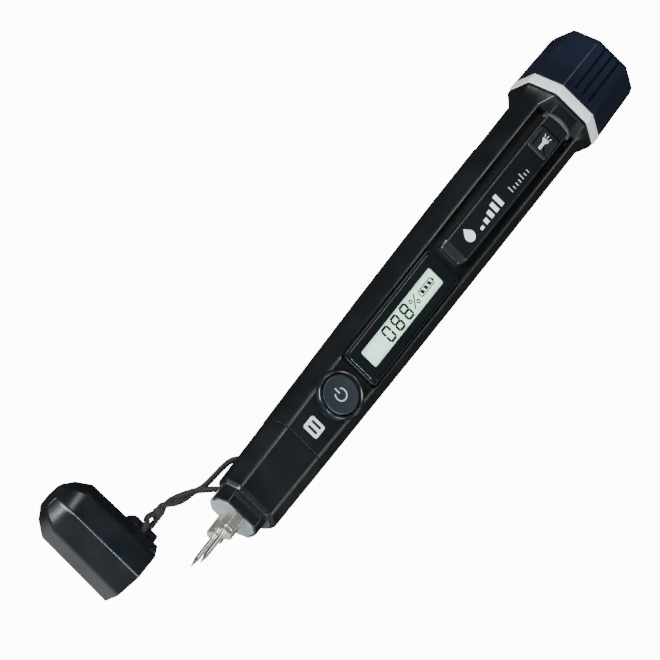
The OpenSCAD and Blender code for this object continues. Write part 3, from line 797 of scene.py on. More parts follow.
# %% Geometry Nodes: grip grooves
def groove_tree():
    tree = bpy.data.node_groups.new("grip_grooves", "GeometryNodeTree")
    face = tree.interface
    face.new_socket("Geometry", in_out="INPUT", socket_type="NodeSocketGeometry")
    for name, kind, value in (
        ("Flats", "NodeSocketInt", 4), ("Grooves", "NodeSocketInt", 3),
        ("Pitch", "NodeSocketFloat", 2.35 * MM),
        ("Width", "NodeSocketFloat", 0.75 * MM), ("Length", "NodeSocketFloat", 16 * MM),
        ("Start", "NodeSocketFloat", 0.1459), ("Floor", "NodeSocketFloat", 10.75 * MM),
        ("Taper", "NodeSocketFloat", math.radians(-1.9)), ("Finish", "NodeSocketMaterial", None),
    ):
        socket = face.new_socket(name, in_out="INPUT", socket_type=kind)
        if value is not None:
            socket.default_value = value
    face.new_socket("Geometry", in_out="OUTPUT", socket_type="NodeSocketGeometry")
    given = tree.nodes.new("NodeGroupInput").outputs
    size = add(tree, "ShaderNodeCombineXYZ", {"Z": 4 * MM}, X=given["Width"], Y=given["Length"])
    bar = add(tree, "GeometryNodeMeshCube", Size=size.outputs[0])
    half_len = add(tree, "ShaderNodeMath", {"operation": "MULTIPLY", 1: 0.5}, _0=given["Length"])
    shift = add(tree, "ShaderNodeCombineXYZ", {"Z": 2 * MM}, Y=half_len.outputs[0])
    based = add(tree, "GeometryNodeTransform", Geometry=bar.outputs["Mesh"],
                Translation=shift.outputs[0])
    lean = add(tree, "ShaderNodeCombineXYZ", X=given["Taper"])
    seat = add(tree, "ShaderNodeCombineXYZ", Y=given["Start"], Z=given["Floor"])
    tipped = add(tree, "GeometryNodeTransform", Geometry=based.outputs[0], Rotation=lean.outputs[0])
    seated = add(tree, "GeometryNodeTransform", Geometry=tipped.outputs[0],
                 Translation=seat.outputs[0])
    less = add(tree, "ShaderNodeMath", {"operation": "SUBTRACT", 1: 1.0}, _0=given["Grooves"])
    span = add(tree, "ShaderNodeMath", {"operation": "MULTIPLY"}, _0=less.outputs[0],
               _1=given["Pitch"])
    left = add(tree, "ShaderNodeMath", {"operation": "MULTIPLY", 1: -0.5}, _0=span.outputs[0])
    first = add(tree, "ShaderNodeCombineXYZ", X=left.outputs[0])
    step = add(tree, "ShaderNodeCombineXYZ", X=given["Pitch"])
    line = add(tree, "GeometryNodeMeshLine", {"mode": "OFFSET"}, Count=given["Grooves"],
               Start_Location=first.outputs[0], Offset=step.outputs[0])
    row = add(tree, "GeometryNodeInstanceOnPoints", Points=line.outputs[0],
              Instance=seated.outputs[0])
    ring = add(tree, "GeometryNodeMeshLine", {"mode": "OFFSET", "Offset": (0, 0, 0)},
               Count=given["Flats"])
    index = add(tree, "GeometryNodeInputIndex")
    turn_step = add(tree, "ShaderNodeMath", {"operation": "DIVIDE", 0: 2 * math.pi},
                    _1=given["Flats"])
    angle = add(tree, "ShaderNodeMath", {"operation": "MULTIPLY"}, _0=index.outputs[0],
                _1=turn_step.outputs[0])
    round_y = add(tree, "ShaderNodeCombineXYZ", Y=angle.outputs[0])
    rows = add(tree, "GeometryNodeInstanceOnPoints", Points=ring.outputs[0],
               Instance=row.outputs[0],
               Rotation=round_y.outputs[0])
    real = add(tree, "GeometryNodeRealizeInstances", Geometry=rows.outputs[0])
    dressed = add(tree, "GeometryNodeSetMaterial", Geometry=real.outputs[0],
                  Material=given["Finish"])
    add(tree, "NodeGroupOutput", Geometry=dressed.outputs[0])
    return tree


def seed_mesh():
    """Any small mesh will do to carry a tree that ignores its input."""
    return skin_rings("seed",
                      [[(0, 0, 0), (1, 0, 0), (0, 1, 0)], [(0, 0, 1), (1, 0, 1), (0, 1, 1)]])


grip_grooves = groove_tree()
print("groove tree nodes:", len(grip_grooves.nodes))

# %% [markdown]
# The display sits in a raised bed, and a long tongue with bevelled sides runs from above the
# display up to the collar, carrying the flashlight key. Both stand in the channel. They are
# separate lofts sunk into its floor, which keeps their own soft edges.

# %% Display bed and tongue
bed = slab("display_bed", 5.6, LENS_Y0 - 0.6, LENS_Y1 + 0.6, 6.0, 8.4, 1.3, 0.35)
combine(bed, [
    slab("lens_pocket", 5.0, LENS_Y0, LENS_Y1, 7.7, 15, 1.5),
    slab("window_pocket", 2.9, WINDOW_Y0 - 0.3, WINDOW_Y1 + 0.3, 5, 15),
])
dress(bed, satin_abs, "housing")


def tongue_outline(top, wide, high, shoulder):
    side = [(top, high), (wide, high - shoulder), (wide, 6.0)]
    return side + [(-x, z) for x, z in side[::-1]]


tongue = loft_y("flashlight_tongue", [
    (TONGUE_Y0, tongue_outline(2.6, 3.3, 8.2, 0.4)),
    (TONGUE_Y0 + 0.7, tongue_outline(3.0, 3.7, 8.9, 0.5)),
    (TONGUE_Y0 + 1.8, tongue_outline(3.35, 3.95, 9.7, 0.55)),
    (LIGHT_Y - 6, tongue_outline(3.4, 3.95, 10.55, 0.55)),
    (TONGUE_Y1, tongue_outline(3.4, 3.95, TONGUE_HIGH, 0.55)),
], 0.35, 0.15)
combine(tongue, [
    slab("key_hole", 3.3, LIGHT_Y - 3.7, LIGHT_Y + 3.7, 5, 15, 0.9),
    slab("flange_room", 3.65, LIGHT_Y - 4.2, LIGHT_Y + 4.2, 5, 9.9),
])
dress(tongue, satin_abs, "housing")

# %% [markdown]
# Above the key the tongue's recess ends in a shallow curved ledge. Its face leans back a little,
# so it mirrors the light above and shows as one pale arc. It is a skin through short rings that
# follow the arc from side to side.

# %% Ledge above the key
LEDGE_Y, LEDGE_HALF, LEDGE_DEEP, LEDGE_STEPS = 135.5, 4.4, 1.3, 24
LEDGE_BOW, LEDGE_SINK = 0.07, 0.55
ledge_rings = []
for i in range(LEDGE_STEPS + 1):
    x = LEDGE_HALF * (2 * i / LEDGE_STEPS - 1)
    y = LEDGE_Y - LEDGE_BOW * x * x
    sink = LEDGE_SINK * (x / LEDGE_HALF) ** 4
    profile = [(-0.15, 9.6), (-0.1, 10.62), (0.08, 10.78), (LEDGE_DEEP, 11.28),
               (LEDGE_DEEP + 0.2, 11.26), (LEDGE_DEEP + 0.4, 9.6)]
    ledge_rings.append([(x, y + dy, z - (sink if z > 10 else 0)) for dy, z in profile])
ledge = skin_rings("key_ledge", ledge_rings)
dress(ledge, satin_abs, "housing", sharp=50)

# %% [markdown]
# ## The back of the housing
# The back has three parts: the battery door, the tray that holds the two cells under it, and the
# moulding behind the head with the case screw. The door is clipped on, and stands a little proud.

# %% Back moulding, tray and battery door
back = loft_y("back_moulding", main_sections(Y_DOOR + 0.2, Y_COLLAR_END), 0.55, 0.15)
combine(back, [
    full_length(0.4, 25),
    cut_box(6.4, Y_DOOR + 2.2, Y_COLLAR - 3.2, -6.9, 20),
    *lamp_room(),
])
combine(back, [post("screw_post", 0, HEAD_SCREW_Y, -8.0, 0.4, 2.5)], "UNION")
combine(back, [
    post("head_room", 0, HEAD_SCREW_Y, -12, -5.7, SCREW_HEAD_R),
    post("screw_hole", 0, HEAD_SCREW_Y, -12, 5, SCREW_R),
])
dress(back, satin_abs, "housing", ["rear_shell"])

tray = slab("battery_tray", 6.3, Y_SEAM + 1.2, Y_DOOR + 0.3, -2.6, 4.1, 0.3)
combine(tray, [
    rod("cell_bore", Y_SEAM + 2.4, Y_DOOR - 0.9, 5.4, 0, -2.0),
    cut_box(5.4, Y_SEAM + 2.4, Y_DOOR - 0.9, -10, -2.0),
])
dress(tray, satin_abs, "housing")

DOOR_PROUD = -0.18
door = loft_y("battery_door_cover", main_sections(Y_SEAM + 0.1, Y_DOOR, DOOR_PROUD), 0.55, 0.18)
door_hollow = loft_y("door_hollow", main_sections(Y_SEAM + 1.1, Y_DOOR - 0.8, 0.85), 0.3, 0.05)
combine(door, [full_length(0.2, 25), door_hollow])
combine(door, [cut_box(6.6, Y_DOOR - 0.85, Y_DOOR + 1, -3.0, 20)])
door_grip = run_tree(
    "door_grip_cutters", seed_mesh(), grip_grooves, Flats=1, Grooves=5, Pitch=1.7 * MM,
    Length=13 * MM,
    Start=101 * MM, Floor=8.18 * MM, Taper=0.0, Finish=door_abs)
door_grip.data.transform(Matrix.Rotation(math.pi, 4, "Y"))
combine(door, [door_grip])
dress(door, door_abs, "battery_door", ["battery_door"])

# %% [markdown]
# Where two mouldings meet, a real housing has a lip behind the joint, so that no light passes.
# Each lip here is a thin wall just behind the outer faces. It ends short of the battery door, so
# that the door can lift away.

# %% Lips behind the seams
def seam_lip(name, y0, y1):
    lip = loft_y(name, main_sections(y0, y1, 0.4), 0.4, 0.03)
    combine(lip, [full_length(0.6, 25)])
    return dress(lip, satin_abs, "housing")


seam_lip("lip_behind_head_seam", Y_DOOR + 0.05, Y_DOOR + 1.0)
nose_lip = loft_y("lip_behind_nose_seam",
                  [(Y_SEAM - 0.25, section(*SEAM, inset=0.4)),
                   (Y_SEAM + 0.08, section(*SEAM, inset=0.4))], 0.4, 0.03)
dress(nose_lip, satin_abs, "housing")

# %% [markdown]
# ## The nose
# Below the seam, a short sleeve tapers to a stepped nose. At the back of the nose a grey block of
# glass-filled nylon shows. It carries the two needles, and insulates them from each other.

# %% Nose sleeve and needle block
def nose_outline(grow=0.0):
    side = [(4.7 + grow * 0.8, 4.75 + grow), (6.9 + grow, 2 + grow * 0.4)]
    foot = [(6.9 + grow, -2 - grow * 0.4), (4.4 + grow * 0.8, -4.75 - grow)]
    side += foot
    return side + [(-x, z) for x, z in side[::-1]]


NOSE_TOP, BLOCK_Y, BLOCK_Z, NEEDLE_Z = 3.4, 7.4, -0.6, 2.6
sleeve = loft_y("nose_sleeve", [
    (NOSE_TOP, section(*LOW, inset=0.8)), (NOSE_TOP + 1.0, section(*LOW)),
    (Y_SEAM, section(*SEAM))], 0.55, 0.2)
combine(sleeve,
        [loft_y("nose_cover", [(0.05, nose_outline()), (NOSE_TOP + 0.5, nose_outline())], 0.4,
                0.15)], "UNION")
sleeve_hollow = loft_y("sleeve_hollow",
                       [(BLOCK_Y + 2, section(*LOW, inset=1.4)),
                        (Y_SEAM + 1, section(*SEAM, inset=1.4))], 0.3, 0.05)
combine(sleeve_hollow, [post("post_left", 0, NOSE_SCREW_Y, -12, -3.9, 2.7)])
combine(sleeve, [
    loft_y("core_hole", [(-1, nose_outline(-0.6)), (BLOCK_Y + 3, nose_outline(-0.6))], 0.3, 0.05),
    cut_box(15, -1, BLOCK_Y + 0.1, -20, BLOCK_Z),
])
combine(sleeve, [sleeve_hollow])
combine(sleeve, [
    post("nose_head_room", 0, NOSE_SCREW_Y, -12, -4.9, SCREW_HEAD_R),
    post("nose_screw_hole", 0, NOSE_SCREW_Y, -12, -3.8, SCREW_R),
])


def eye(inner, outer, radius=CORD_D / 2 + 0.25):
    """Straight hole for a cord, as a cutter."""
    inner, outer = Vector(inner), Vector(outer)
    way = outer - inner
    made = turned("eye", [(0, 0), (radius, 0), (radius, way.length * 3), (0, way.length * 3)],
                  segments=32)
    turn_way = way.to_track_quat("Z", "Y").to_matrix().to_4x4()
    place = Matrix.Translation((inner - 0.6 * way) * MM) @ turn_way
    made.data.transform(place)
    return made


combine(sleeve, [eye(STRAND_B[0], STRAND_B[1])])
dress(sleeve, satin_abs, "housing", ["nose_shell"])

block = loft_y("needle_block_core", [(0.0, nose_outline(-0.7)), (14.0, nose_outline(-0.7))], 0.3,
               0.05)
back_face = section(*LOW, inset=0.35)
rim = loft_y("needle_block_rim", [
    (0.0, nose_outline()), (NOSE_TOP, nose_outline()), (NOSE_TOP + 0.2, nose_outline())], 0.4, 0.15)
shoulder = loft_y("needle_block_shoulder", [
    (NOSE_TOP, [(x * 0.8, z * 0.72) for x, z in back_face]), (BLOCK_Y, back_face)], 0.4, 0.1)
combine(rim, [shoulder], "UNION")
combine(rim, [cut_box(15, -1, 20, BLOCK_Z - 0.1, 20)])
combine(block, [rim], "UNION")
combine(block, [rod("needle_bore", -1, 15, 1.0, 0, NEEDLE_Z),
                rod("needle_bore", -1, 15, 1.0, 0, -NEEDLE_Z),
                eye(STRAND_A[0], STRAND_A[1])])
dress(block, nose_nylon, "housing", ["pin_block"])

# %% [markdown]
# ## Needles and holders
# Each needle is ground to a point and held in a turned hexagonal nut. A nut's corners are
# chamfered at both ends, because it is cut from hexagonal bar on a lathe.

# %% Holders and needles
HOLDER_LEN, HOLDER_AF, PIN_OUT = 6.25, 4.3, 10.1  # AF is the width across the flats
NEEDLE_R, SHANK_R = 0.65, 0.5


def hexagon(radius):
    return [(radius * math.cos(math.pi / 3 * k),
             radius * math.sin(math.pi / 3 * k)) for k in range(6)]


def holder(name, z, node):
    radius = HOLDER_AF / 2 / math.cos(math.pi / 6)
    outline = hexagon(radius)
    bar = loft_y(name, [(-HOLDER_LEN, outline), (-0.06, outline)], 0.12, 0.1)
    turned_blank = turned("blank", [
        (0, -HOLDER_LEN), (2.0, -HOLDER_LEN), (radius + 0.05, -HOLDER_LEN + 0.35),
        (radius + 0.05, -0.4), (2.05, -0.06), (0, -0.06)], (0, 0, 0), "Y")
    combine(bar, [turned_blank], "INTERSECT")
    groove = [(1.9, -5.1), (3.5, -5.1), (3.5, -4.75), (1.9, -4.75)]
    combine(bar, [turned("groove", groove, (0, 0, 0), "Y"),
                  rod("needle_hole", -HOLDER_LEN - 1, -0.8, SHANK_R + 0.03)])
    bar.data.transform(Matrix.Translation((0, 0, z * MM)))
    return dress(bar, nickel, "housing", [node])


def needle(name, z, node):
    tip, straight = -HOLDER_LEN - PIN_OUT, -HOLDER_LEN - PIN_OUT + 3
    made = turned(name, [
        (0, tip), (0.06, tip), (0.12, tip + 0.12), (NEEDLE_R - 0.005, straight - 0.1),
        (NEEDLE_R, straight),
        (NEEDLE_R, -HOLDER_LEN), (SHANK_R, -HOLDER_LEN + 0.05), (SHANK_R, -0.9), (0, -0.9)],
        (0, 0, z), "Y", 48)
    return dress(made, needle_steel, "housing", [node])


for label, z in (("front", NEEDLE_Z), ("back", -NEEDLE_Z)):
    holder("needle_holder_" + label, z, "pin_holder_" + label)
    needle("needle_" + label, z, "pin_" + label)

# %% [markdown]
# ## The head
# A flashlight forms the head: a chromed trim ring, then an octagonal bezel with three grip
# grooves on each main flat. The groove tree makes the cutters, leaning with the head's taper.

# %% Trim ring
TRIM_Y, TRIM_LEN, HEAD_HALF = 141.1, 2.9, 11.55
BODY_LEN = 161.0
BEZEL_Y = TRIM_Y + TRIM_LEN + 0.1


def head_outline(half):
    return octagon(half, half * HEAD_FLAT)


trim = loft_y("chrome_trim_ring", [
    (TRIM_Y, head_outline(HEAD_HALF)), (TRIM_Y + TRIM_LEN, head_outline(HEAD_HALF))], 0.4, 0.3)
combine(trim, [rod("ring_bore", TRIM_Y - 1, TRIM_Y + 5, LAMP_R)])
dress(trim, satin_chrome, "housing", ["trim_ring"])

# %% Bezel
bezel = loft_y("head_bezel_moulding", [
    (BEZEL_Y, head_outline(HEAD_HALF - 0.1)), (BODY_LEN - 2.1, head_outline(HEAD_HALF - 0.6)),
    (BODY_LEN - 0.6, head_outline(HEAD_HALF - 1.05)), (BODY_LEN, head_outline(HEAD_HALF - 1.55))],
    0.4, 0.2)
grooves = run_tree("grip_cutters", seed_mesh(), grip_grooves, Finish=head_abs)
combine(bezel, [grooves])
combine(bezel, [rod("bezel_bore", BEZEL_Y - 1, BODY_LEN + 1, LAMP_R + 0.05)])
dress(bezel, head_abs, "housing", ["head_bezel"])

# %% [markdown]
# Inside the head sit a black retaining ring, a clear lens on a rubber seal, and a mirrored bowl
# round the lamp. They are all turned shapes, and they show only from the head's end.

# %% Lamp parts
BOWL_Y, BOWL_DEEP, BOWL_STEPS = 146.9, 10.1, 24
bowl = [(1.9 + 5.8 * math.sqrt(i / BOWL_STEPS), BOWL_Y + BOWL_DEEP * i / BOWL_STEPS)
        for i in range(BOWL_STEPS + 1)]
outside = [(min(r + 0.7, 8.55), y) for r, y in bowl[::-1][1:]]
reflector = turned("mirror_bowl", bowl + [(8.6, 157.0), (8.6, 156.3)] + outside, axis="Y")
dress(reflector, mirror_metal, "housing", ["reflector"], 60)
lamp_cover = turned("lamp_cover",
                    [(0, 157.8), (8.5, 157.8), (8.6, 157.9), (8.6, 159.3), (8.5, 159.4),
                     (0, 159.55)], axis="Y")
dress(lamp_cover, lamp_clear, "housing", ["lamp_lens"])
retainer = turned("retaining_ring",
                  [(7.8, 159.6), (8.65, 159.6), (8.65, 160.4), (8.55, 160.5), (7.95, 160.5),
                   (7.8, 160.3)], axis="Y")
dress(retainer, head_abs, "housing", ["lens_ring"])
finish_cad(seal_rubber, "lens_seal")
finish_cad(sink_metal, "heat_sink")
finish_cad(white_plastic, "led_board")
finish_cad(ink("phosphor_resin", "#e2c03a", "#f0d257", 0.3), "led")

# %% [markdown]
# ## Buttons
# The power button is a shallow dish inside a round rim. The flashlight key is silicone rubber
# with a domed top. Their symbols are printed, so they are thin raised shapes in pale ink.

# %% Power button and rim
rim_ring = turned("power_rim", [
    (5.32, 7.02), (6.5, 7.02), (6.52, 8.3), (6.42, 8.85), (6.2, 9.2), (5.95, 9.33), (5.7, 9.28),
    (5.5, 9.05),
    (5.35, 8.7)], (0, POWER_Y, 0))
dress(rim_ring, rim_abs, "housing", ["power_ring"], 50)
disc = turned("power_disc", [
    (0, 6.95), (1.8, 6.95), (1.8, 7.45), (5.1, 7.45), (5.14, 7.6), (5.14, 8.45), (5.05, 8.68),
    (4.85, 8.82),
    (4.5, 8.86), (4.2, 8.82), (3.0, 8.72), (1.5, 8.66), (0, 8.65)], (0, POWER_Y, 0))
dress(disc, disc_abs, "power_button", ["power_button"], 40)

# %% Flashlight key
key_outline = [(3.15, LIGHT_Y - 3.5), (3.15, LIGHT_Y + 3.5), (-3.15, LIGHT_Y + 3.5),
               (-3.15, LIGHT_Y - 3.5)]
key_outline = round_corners(key_outline, 0.9)
key_rings = [[(p[0], p[1], 9.1) for p in key_outline]]
for inset, z in ((0, 10.55), (0.06, 10.75), (0.2, 10.9), (0.45, 10.99), (1.1, 11.03)):
    key_rings.append([(p[0], p[1], z) for p in shrink(key_outline, inset)])
key = skin_rings("flashlight_key", key_rings)
combine(key, [slab("key_flange", 3.5, LIGHT_Y - 4, LIGHT_Y + 4, 9.0, 9.75, 0.6, 0.1)], "UNION")
dress(key, key_rubber, "light_button", ["light_button"])


# %% Printed marks
def prints(name, shapes, z, finish, body, thick=0.05):
    """Prints as thin raised shapes, each a convex or star-like outline of (x, y) points."""
    bm = bmesh.new()
    for outline in shapes:
        area = sum(a[0] * b[1] - b[0] * a[1] for a, b in zip(outline, outline[1:] + outline[:1]))
        outline = outline if area > 0 else outline[::-1]
        low = [bm.verts.new((x, y, z)) for x, y in outline]
        high = [bm.verts.new((x, y, z + thick)) for x, y in outline]
        bm.faces.new(high)
        bm.faces.new(low[::-1])
        for i in range(len(outline)):
            k = (i + 1) % len(outline)
            bm.faces.new((low[i], low[k], high[k], high[i]))
    bmesh.ops.scale(bm, vec=(MM, MM, MM), verts=bm.verts)
    mesh = bpy.data.meshes.new(name)
    bm.to_mesh(mesh)
    bm.free()
    made = bpy.data.objects.new(name, mesh)
    bpy.context.collection.objects.link(made)
    return dress(made, finish, body)


def bar_mark(x, y, wide, high, slant=0.0):
    """Upright bar round (x, y); slant leans it along y."""
    w, h = wide / 2, high / 2
    return [(x - w, y - h - slant), (x + w, y - h + slant), (x + w, y + h + slant),
            (x - w, y + h - slant)]


def arc_mark(x, y, radius, width, start, end, steps=24):
    """Part of a ring, in quadrilaterals, between two angles in degrees."""
    made = []
    for i in range(steps):
        a, b = (math.radians(start + (end - start) * k / steps) for k in (i, i + 1))
        inner, outer = radius - width / 2, radius + width / 2
        made.append([
            (x + inner * math.cos(a), y + inner * math.sin(a)),
            (x + outer * math.cos(a), y + outer * math.sin(a)),
            (x + outer * math.cos(b), y + outer * math.sin(b)),
            (x + inner * math.cos(b), y + inner * math.sin(b))])
    return made


print("print helpers ready")

# %% Button symbols
power_symbol = arc_mark(0, POWER_Y, 1.6, 0.32, -140, 140) + [bar_mark(-1.35, POWER_Y, 1.7, 0.34)]
prints("power_symbol", power_symbol, 8.66, grey_ink, "power_button", 0.08)

# A torch seen from the side, its head and three rays towards the lamp
torch = [
    bar_mark(0, LIGHT_Y - 1.1, 0.8, 2.0),
    [(-0.4, LIGHT_Y - 0.1), (0.4, LIGHT_Y - 0.1), (0.95, LIGHT_Y + 0.7), (-0.95, LIGHT_Y + 0.7)],
    bar_mark(0, LIGHT_Y + 0.95, 1.9, 0.4),
    bar_mark(0, LIGHT_Y + 1.85, 0.22, 0.9),
    [(0.55, LIGHT_Y + 1.4), (0.75, LIGHT_Y + 1.35), (1.15, LIGHT_Y + 2.1), (0.95, LIGHT_Y + 2.2)],
    [(-0.55, LIGHT_Y + 1.4), (-0.75, LIGHT_Y + 1.35), (-1.15, LIGHT_Y + 2.1),
     (-0.95, LIGHT_Y + 2.2)],
]
prints("torch_symbol", torch, 11.0, ink("key_print", "#b4c4c6", "#c8d6d8"), "light_button",
       0.06)

# %% [markdown]
# ## Hold label and plain mark
# A small pale label marks the hold function with two bars, as on a player. On the tongue, a
# plain drop and a row of rising bars say what the tool measures.

# %% Hold label and tongue mark
hold = slab("hold_label_plate", 2.35, HOLD_Y - 2.05, HOLD_Y + 2.05, FRONT - 0.13, FRONT + 0.1, 0.75,
            0.05)
dress(hold, label_face, "housing", ["hold_label"])
pause = [bar_mark(0, HOLD_Y + side * 0.85, 3.0, 0.75) for side in (-1, 1)]
prints("hold_bars", pause, FRONT + 0.08, segment_ink, "housing")


def tongue_top(y):
    """Height of the tongue's top face at a place along it."""
    known = [(TONGUE_Y0 + 1.8, 9.7), (LIGHT_Y - 6, 10.55), (TONGUE_Y1, TONGUE_HIGH)]
    for (ya, a), (yb, b) in zip(known, known[1:]):
        if y <= yb:
            return a + (b - a) * (y - ya) / (yb - ya)
    return TONGUE_HIGH


def drop_shape(x, y, size):
    """A drop whose point faces the left side."""
    made = [(x - 1.55 * size, y)]
    for k in range(17):
        a = math.radians(130 - 260 * k / 16)
        made.append((x + size * math.cos(a), y + size * math.sin(a)))
    return made


def tilted_prints(name, shapes, finish):
    made = prints(name, shapes, 0.0, finish, "housing")
    for vertex in made.data.vertices:
        vertex.co.z += (tongue_top(vertex.co.y / MM) - 0.01) * MM
    return made


drop = [drop_shape(0.35, 96.6, 1.55)]
MARK_EDGE = 1.9  # the bars and ticks all end on this line
bars = [bar_mark(MARK_EDGE - 0.5 * long, 100.6 + 2.1 * i, long, 1.25)
        for i, long in enumerate(0.8 + 0.62 * k for k in range(5))]
ticks = [bar_mark(MARK_EDGE - 0.5 * long, 113.5 + 1.15 * i, long, 0.28)
         for i, long in enumerate(1.8 if k % 4 == 0 else 1.0 for k in range(7))]
tilted_prints("tongue_mark", drop + bars, white_ink)
tilted_prints("tongue_ticks", ticks, grey_ink)

# %% [markdown]
# ## Display
# A smoked acrylic frame surrounds the window. Under it, the liquid-crystal panel shows dark
# segments on pale green. Seven bars make each character, so one function draws a digit from a
# table of the bars it lights; the table holds the two digits shown.

# %% Display frame, panel and segments
frame_plate = slab("display_frame", 4.93, LENS_Y0 + 0.07, LENS_Y1 - 0.07, 7.72, 8.8, 1.45, 0.25)
combine(frame_plate, [slab("window", 2.65, WINDOW_Y0, WINDOW_Y1, 7, 10, 0.5)])
dress(frame_plate, lens_acrylic, "housing", ["lcd_lens"])
PANEL_Z = 8.35
panel = slab("display_panel", 2.75, WINDOW_Y0 - 0.15, WINDOW_Y1 + 0.15, 7.75, PANEL_Z, 0.4)
dress(panel, display_glass, "housing")

SEGMENTS = {"0": "abcdef", "8": "abcdefg"}  # which of the seven bars each character lights


def digit(value, y, wide=2.0, tall=3.7, stroke=0.62):
    """Seven-segment character whose top faces the left side and that reads towards the head."""
    top, bottom, left, right_edge = -tall / 2, tall / 2, y - wide / 2, y + wide / 2
    gap, taper = 0.1, 0.12
    level = {"a": top, "g": 0, "d": bottom}
    made = []
    for key_name in SEGMENTS[value]:
        if key_name in level:
            x = level[key_name]
            made.append([(x - stroke / 2, left + gap), (x, left - 0.05 + gap),
                         (x + stroke / 2, left + gap),
                         (x + stroke / 2, right_edge - gap), (x, right_edge + 0.05 - gap),
                         (x - stroke / 2, right_edge - gap)])
        else:
            yy = left if key_name in "fe" else right_edge
            x0, x1 = (top + gap, -gap) if key_name in "fb" else (gap, bottom - gap)
            made.append([(x0 + taper, yy - stroke / 2), (x1 - taper, yy - stroke / 2), (x1, yy),
                         (x1 - taper, yy + stroke / 2), (x0 + taper, yy + stroke / 2), (x0, yy)])
    return made


print("segments lit in an eight:", len(SEGMENTS["8"]))

# %% Characters, percent sign and battery
marks = []
for value, y in (("0", 62.2), ("8", 66.1), ("8", 70.0)):
    marks += digit(value, y, 2.1)
# Percent sign: two small rings and a slanted stroke
marks += arc_mark(-0.75, 72.7, 0.45, 0.32, 0, 360, 16) + arc_mark(0.75, 74.4, 0.45, 0.32, 0, 360,
    16)
marks.append([(-1.45, 74.6), (-1.4, 75.0), (1.45, 72.5), (1.4, 72.1)])
# Battery outline with three charge bars and a small contact
BAT_Y0, BAT_Y1, BAT_X, BAT_LINE = 76.0, 81.2, 0.85, 0.25
bat_mid, bat_long = (BAT_Y0 + BAT_Y1) / 2, BAT_Y1 - BAT_Y0
marks += [
    bar_mark(-BAT_X, bat_mid, BAT_LINE, bat_long), bar_mark(BAT_X, bat_mid, BAT_LINE, bat_long),
    bar_mark(0, BAT_Y0, 2 * BAT_X, BAT_LINE), bar_mark(0, BAT_Y1, 2 * BAT_X, BAT_LINE),
    bar_mark(0, BAT_Y1 + 0.3, 0.8, 0.4)]
marks += [bar_mark(0, BAT_Y0 + 1.1 + 1.5 * i, 1.1, 0.95, 0.15) for i in range(3)]
prints("display_segments", marks, PANEL_Z - 0.01, segment_ink, "housing", 0.04)

# %% [markdown]
# ## Cap
# The cap is a hollow octagonal cup with a faceted end. A bar stands off one side, and the
# lanyard's loop goes round it. Two rubber pads inside grip the nose.

# %% Cap
CAP_LEN, CAP_HALF, CAP_WALL = 27.9, 8.65, 1.5
CAP_FLAT = 0.414  # a flat's half width, as a share of the cap's: a regular octagon


def cap_outline(half):
    return octagon(half, half * CAP_FLAT)


CAP_PLACE = Matrix.Translation(Vector((-11.2, -30.2, 0)) * MM) @ Matrix.Rotation(math.radians(-90),
    4, "Z")
cap = loft_y("cap_shell", [
    (-CAP_LEN, cap_outline(CAP_HALF - 4.4)), (-CAP_LEN + 1.7, cap_outline(CAP_HALF - 2.5)),
    (-CAP_LEN + 5.4, cap_outline(CAP_HALF - 0.22)), (0, cap_outline(CAP_HALF + 0.1))], 0.7, 0.22)


def flat_bar(name, outline, z0, z1):
    rounded = round_corners(outline, 0.5)
    rings = [(z0, 0.25), (z0 + 0.08, 0.08), (z0 + 0.25, 0), (z1 - 0.25, 0), (z1 - 0.08, 0.08),
             (z1, 0.25)]
    return skin_rings(name,
                      [[(p[0], p[1], z) for p in shrink(rounded, inset)] for z, inset in rings])


lug_x = -CAP_HALF - 3.1
lug = flat_bar("lanyard_lug", [
    (lug_x, -0.9), (lug_x, -8.4), (lug_x + 1.4, -10.1), (lug_x + 3.8, -10.6), (lug_x + 3.8, -0.6)],
    -1.5, 1.5)
combine(lug, [flat_bar("lug_slot", [
    (lug_x + 1.6, -7.5), (lug_x + 1.6, -2.6), (lug_x + 3.15, -2.6), (lug_x + 3.15, -7.5)], -4, 4)])
combine(cap, [lug], "UNION")
combine(cap, [loft_y("cap_hollow", [
    (-CAP_LEN + 2.2, cap_outline(CAP_HALF - 4.6)),
    (-CAP_LEN + 6, cap_outline(CAP_HALF - CAP_WALL - 0.3)),
    (-5, cap_outline(CAP_HALF - CAP_WALL)), (1, cap_outline(CAP_HALF - CAP_WALL))], 0.5, 0.1)])
cap.data.transform(CAP_PLACE)
dress(cap, cap_abs, "cap", ["cap"])
finish_cad(key_rubber, "cap_liner")

# %% [markdown]
# ## Screws and inside pieces
# The case screws and the inside pieces are simple shapes whose CAD mesh is right, so they keep
# it and only get a finish. The board is green laminate and the cells have printed sleeves.

# %% Carried-over CAD pieces
laminate = moulded_plastic("green_laminate", "#12381f", "#184a29", 0.35)
sleeve_print = ink("cell_sleeve_print", "#39424b", "#515c66", 0.25)
finish_cad(spring_steel, "case_screws", "battery_spring", "battery_plate", "power_switch",
           "light_switch")
finish_cad(gold_plate, "pin_contacts")
finish_cad(laminate, "main_board")
finish_cad(seal_rubber, "buzzer")
finish_cad(display_glass, "lcd_glass")
finish_cad(white_plastic, "lcd_backlight")
finish_cad(sleeve_print, "battery_lower", "battery_upper")

# %% [markdown]
# ## Floor and light
# A plain pale floor fills the background. It is a little below the tool, so that the battery
# door can lift off without dipping into it, and it glows by itself, so that it stays pale with
# few lights. It is hidden from reflections, or every steep side would mirror it and turn grey.

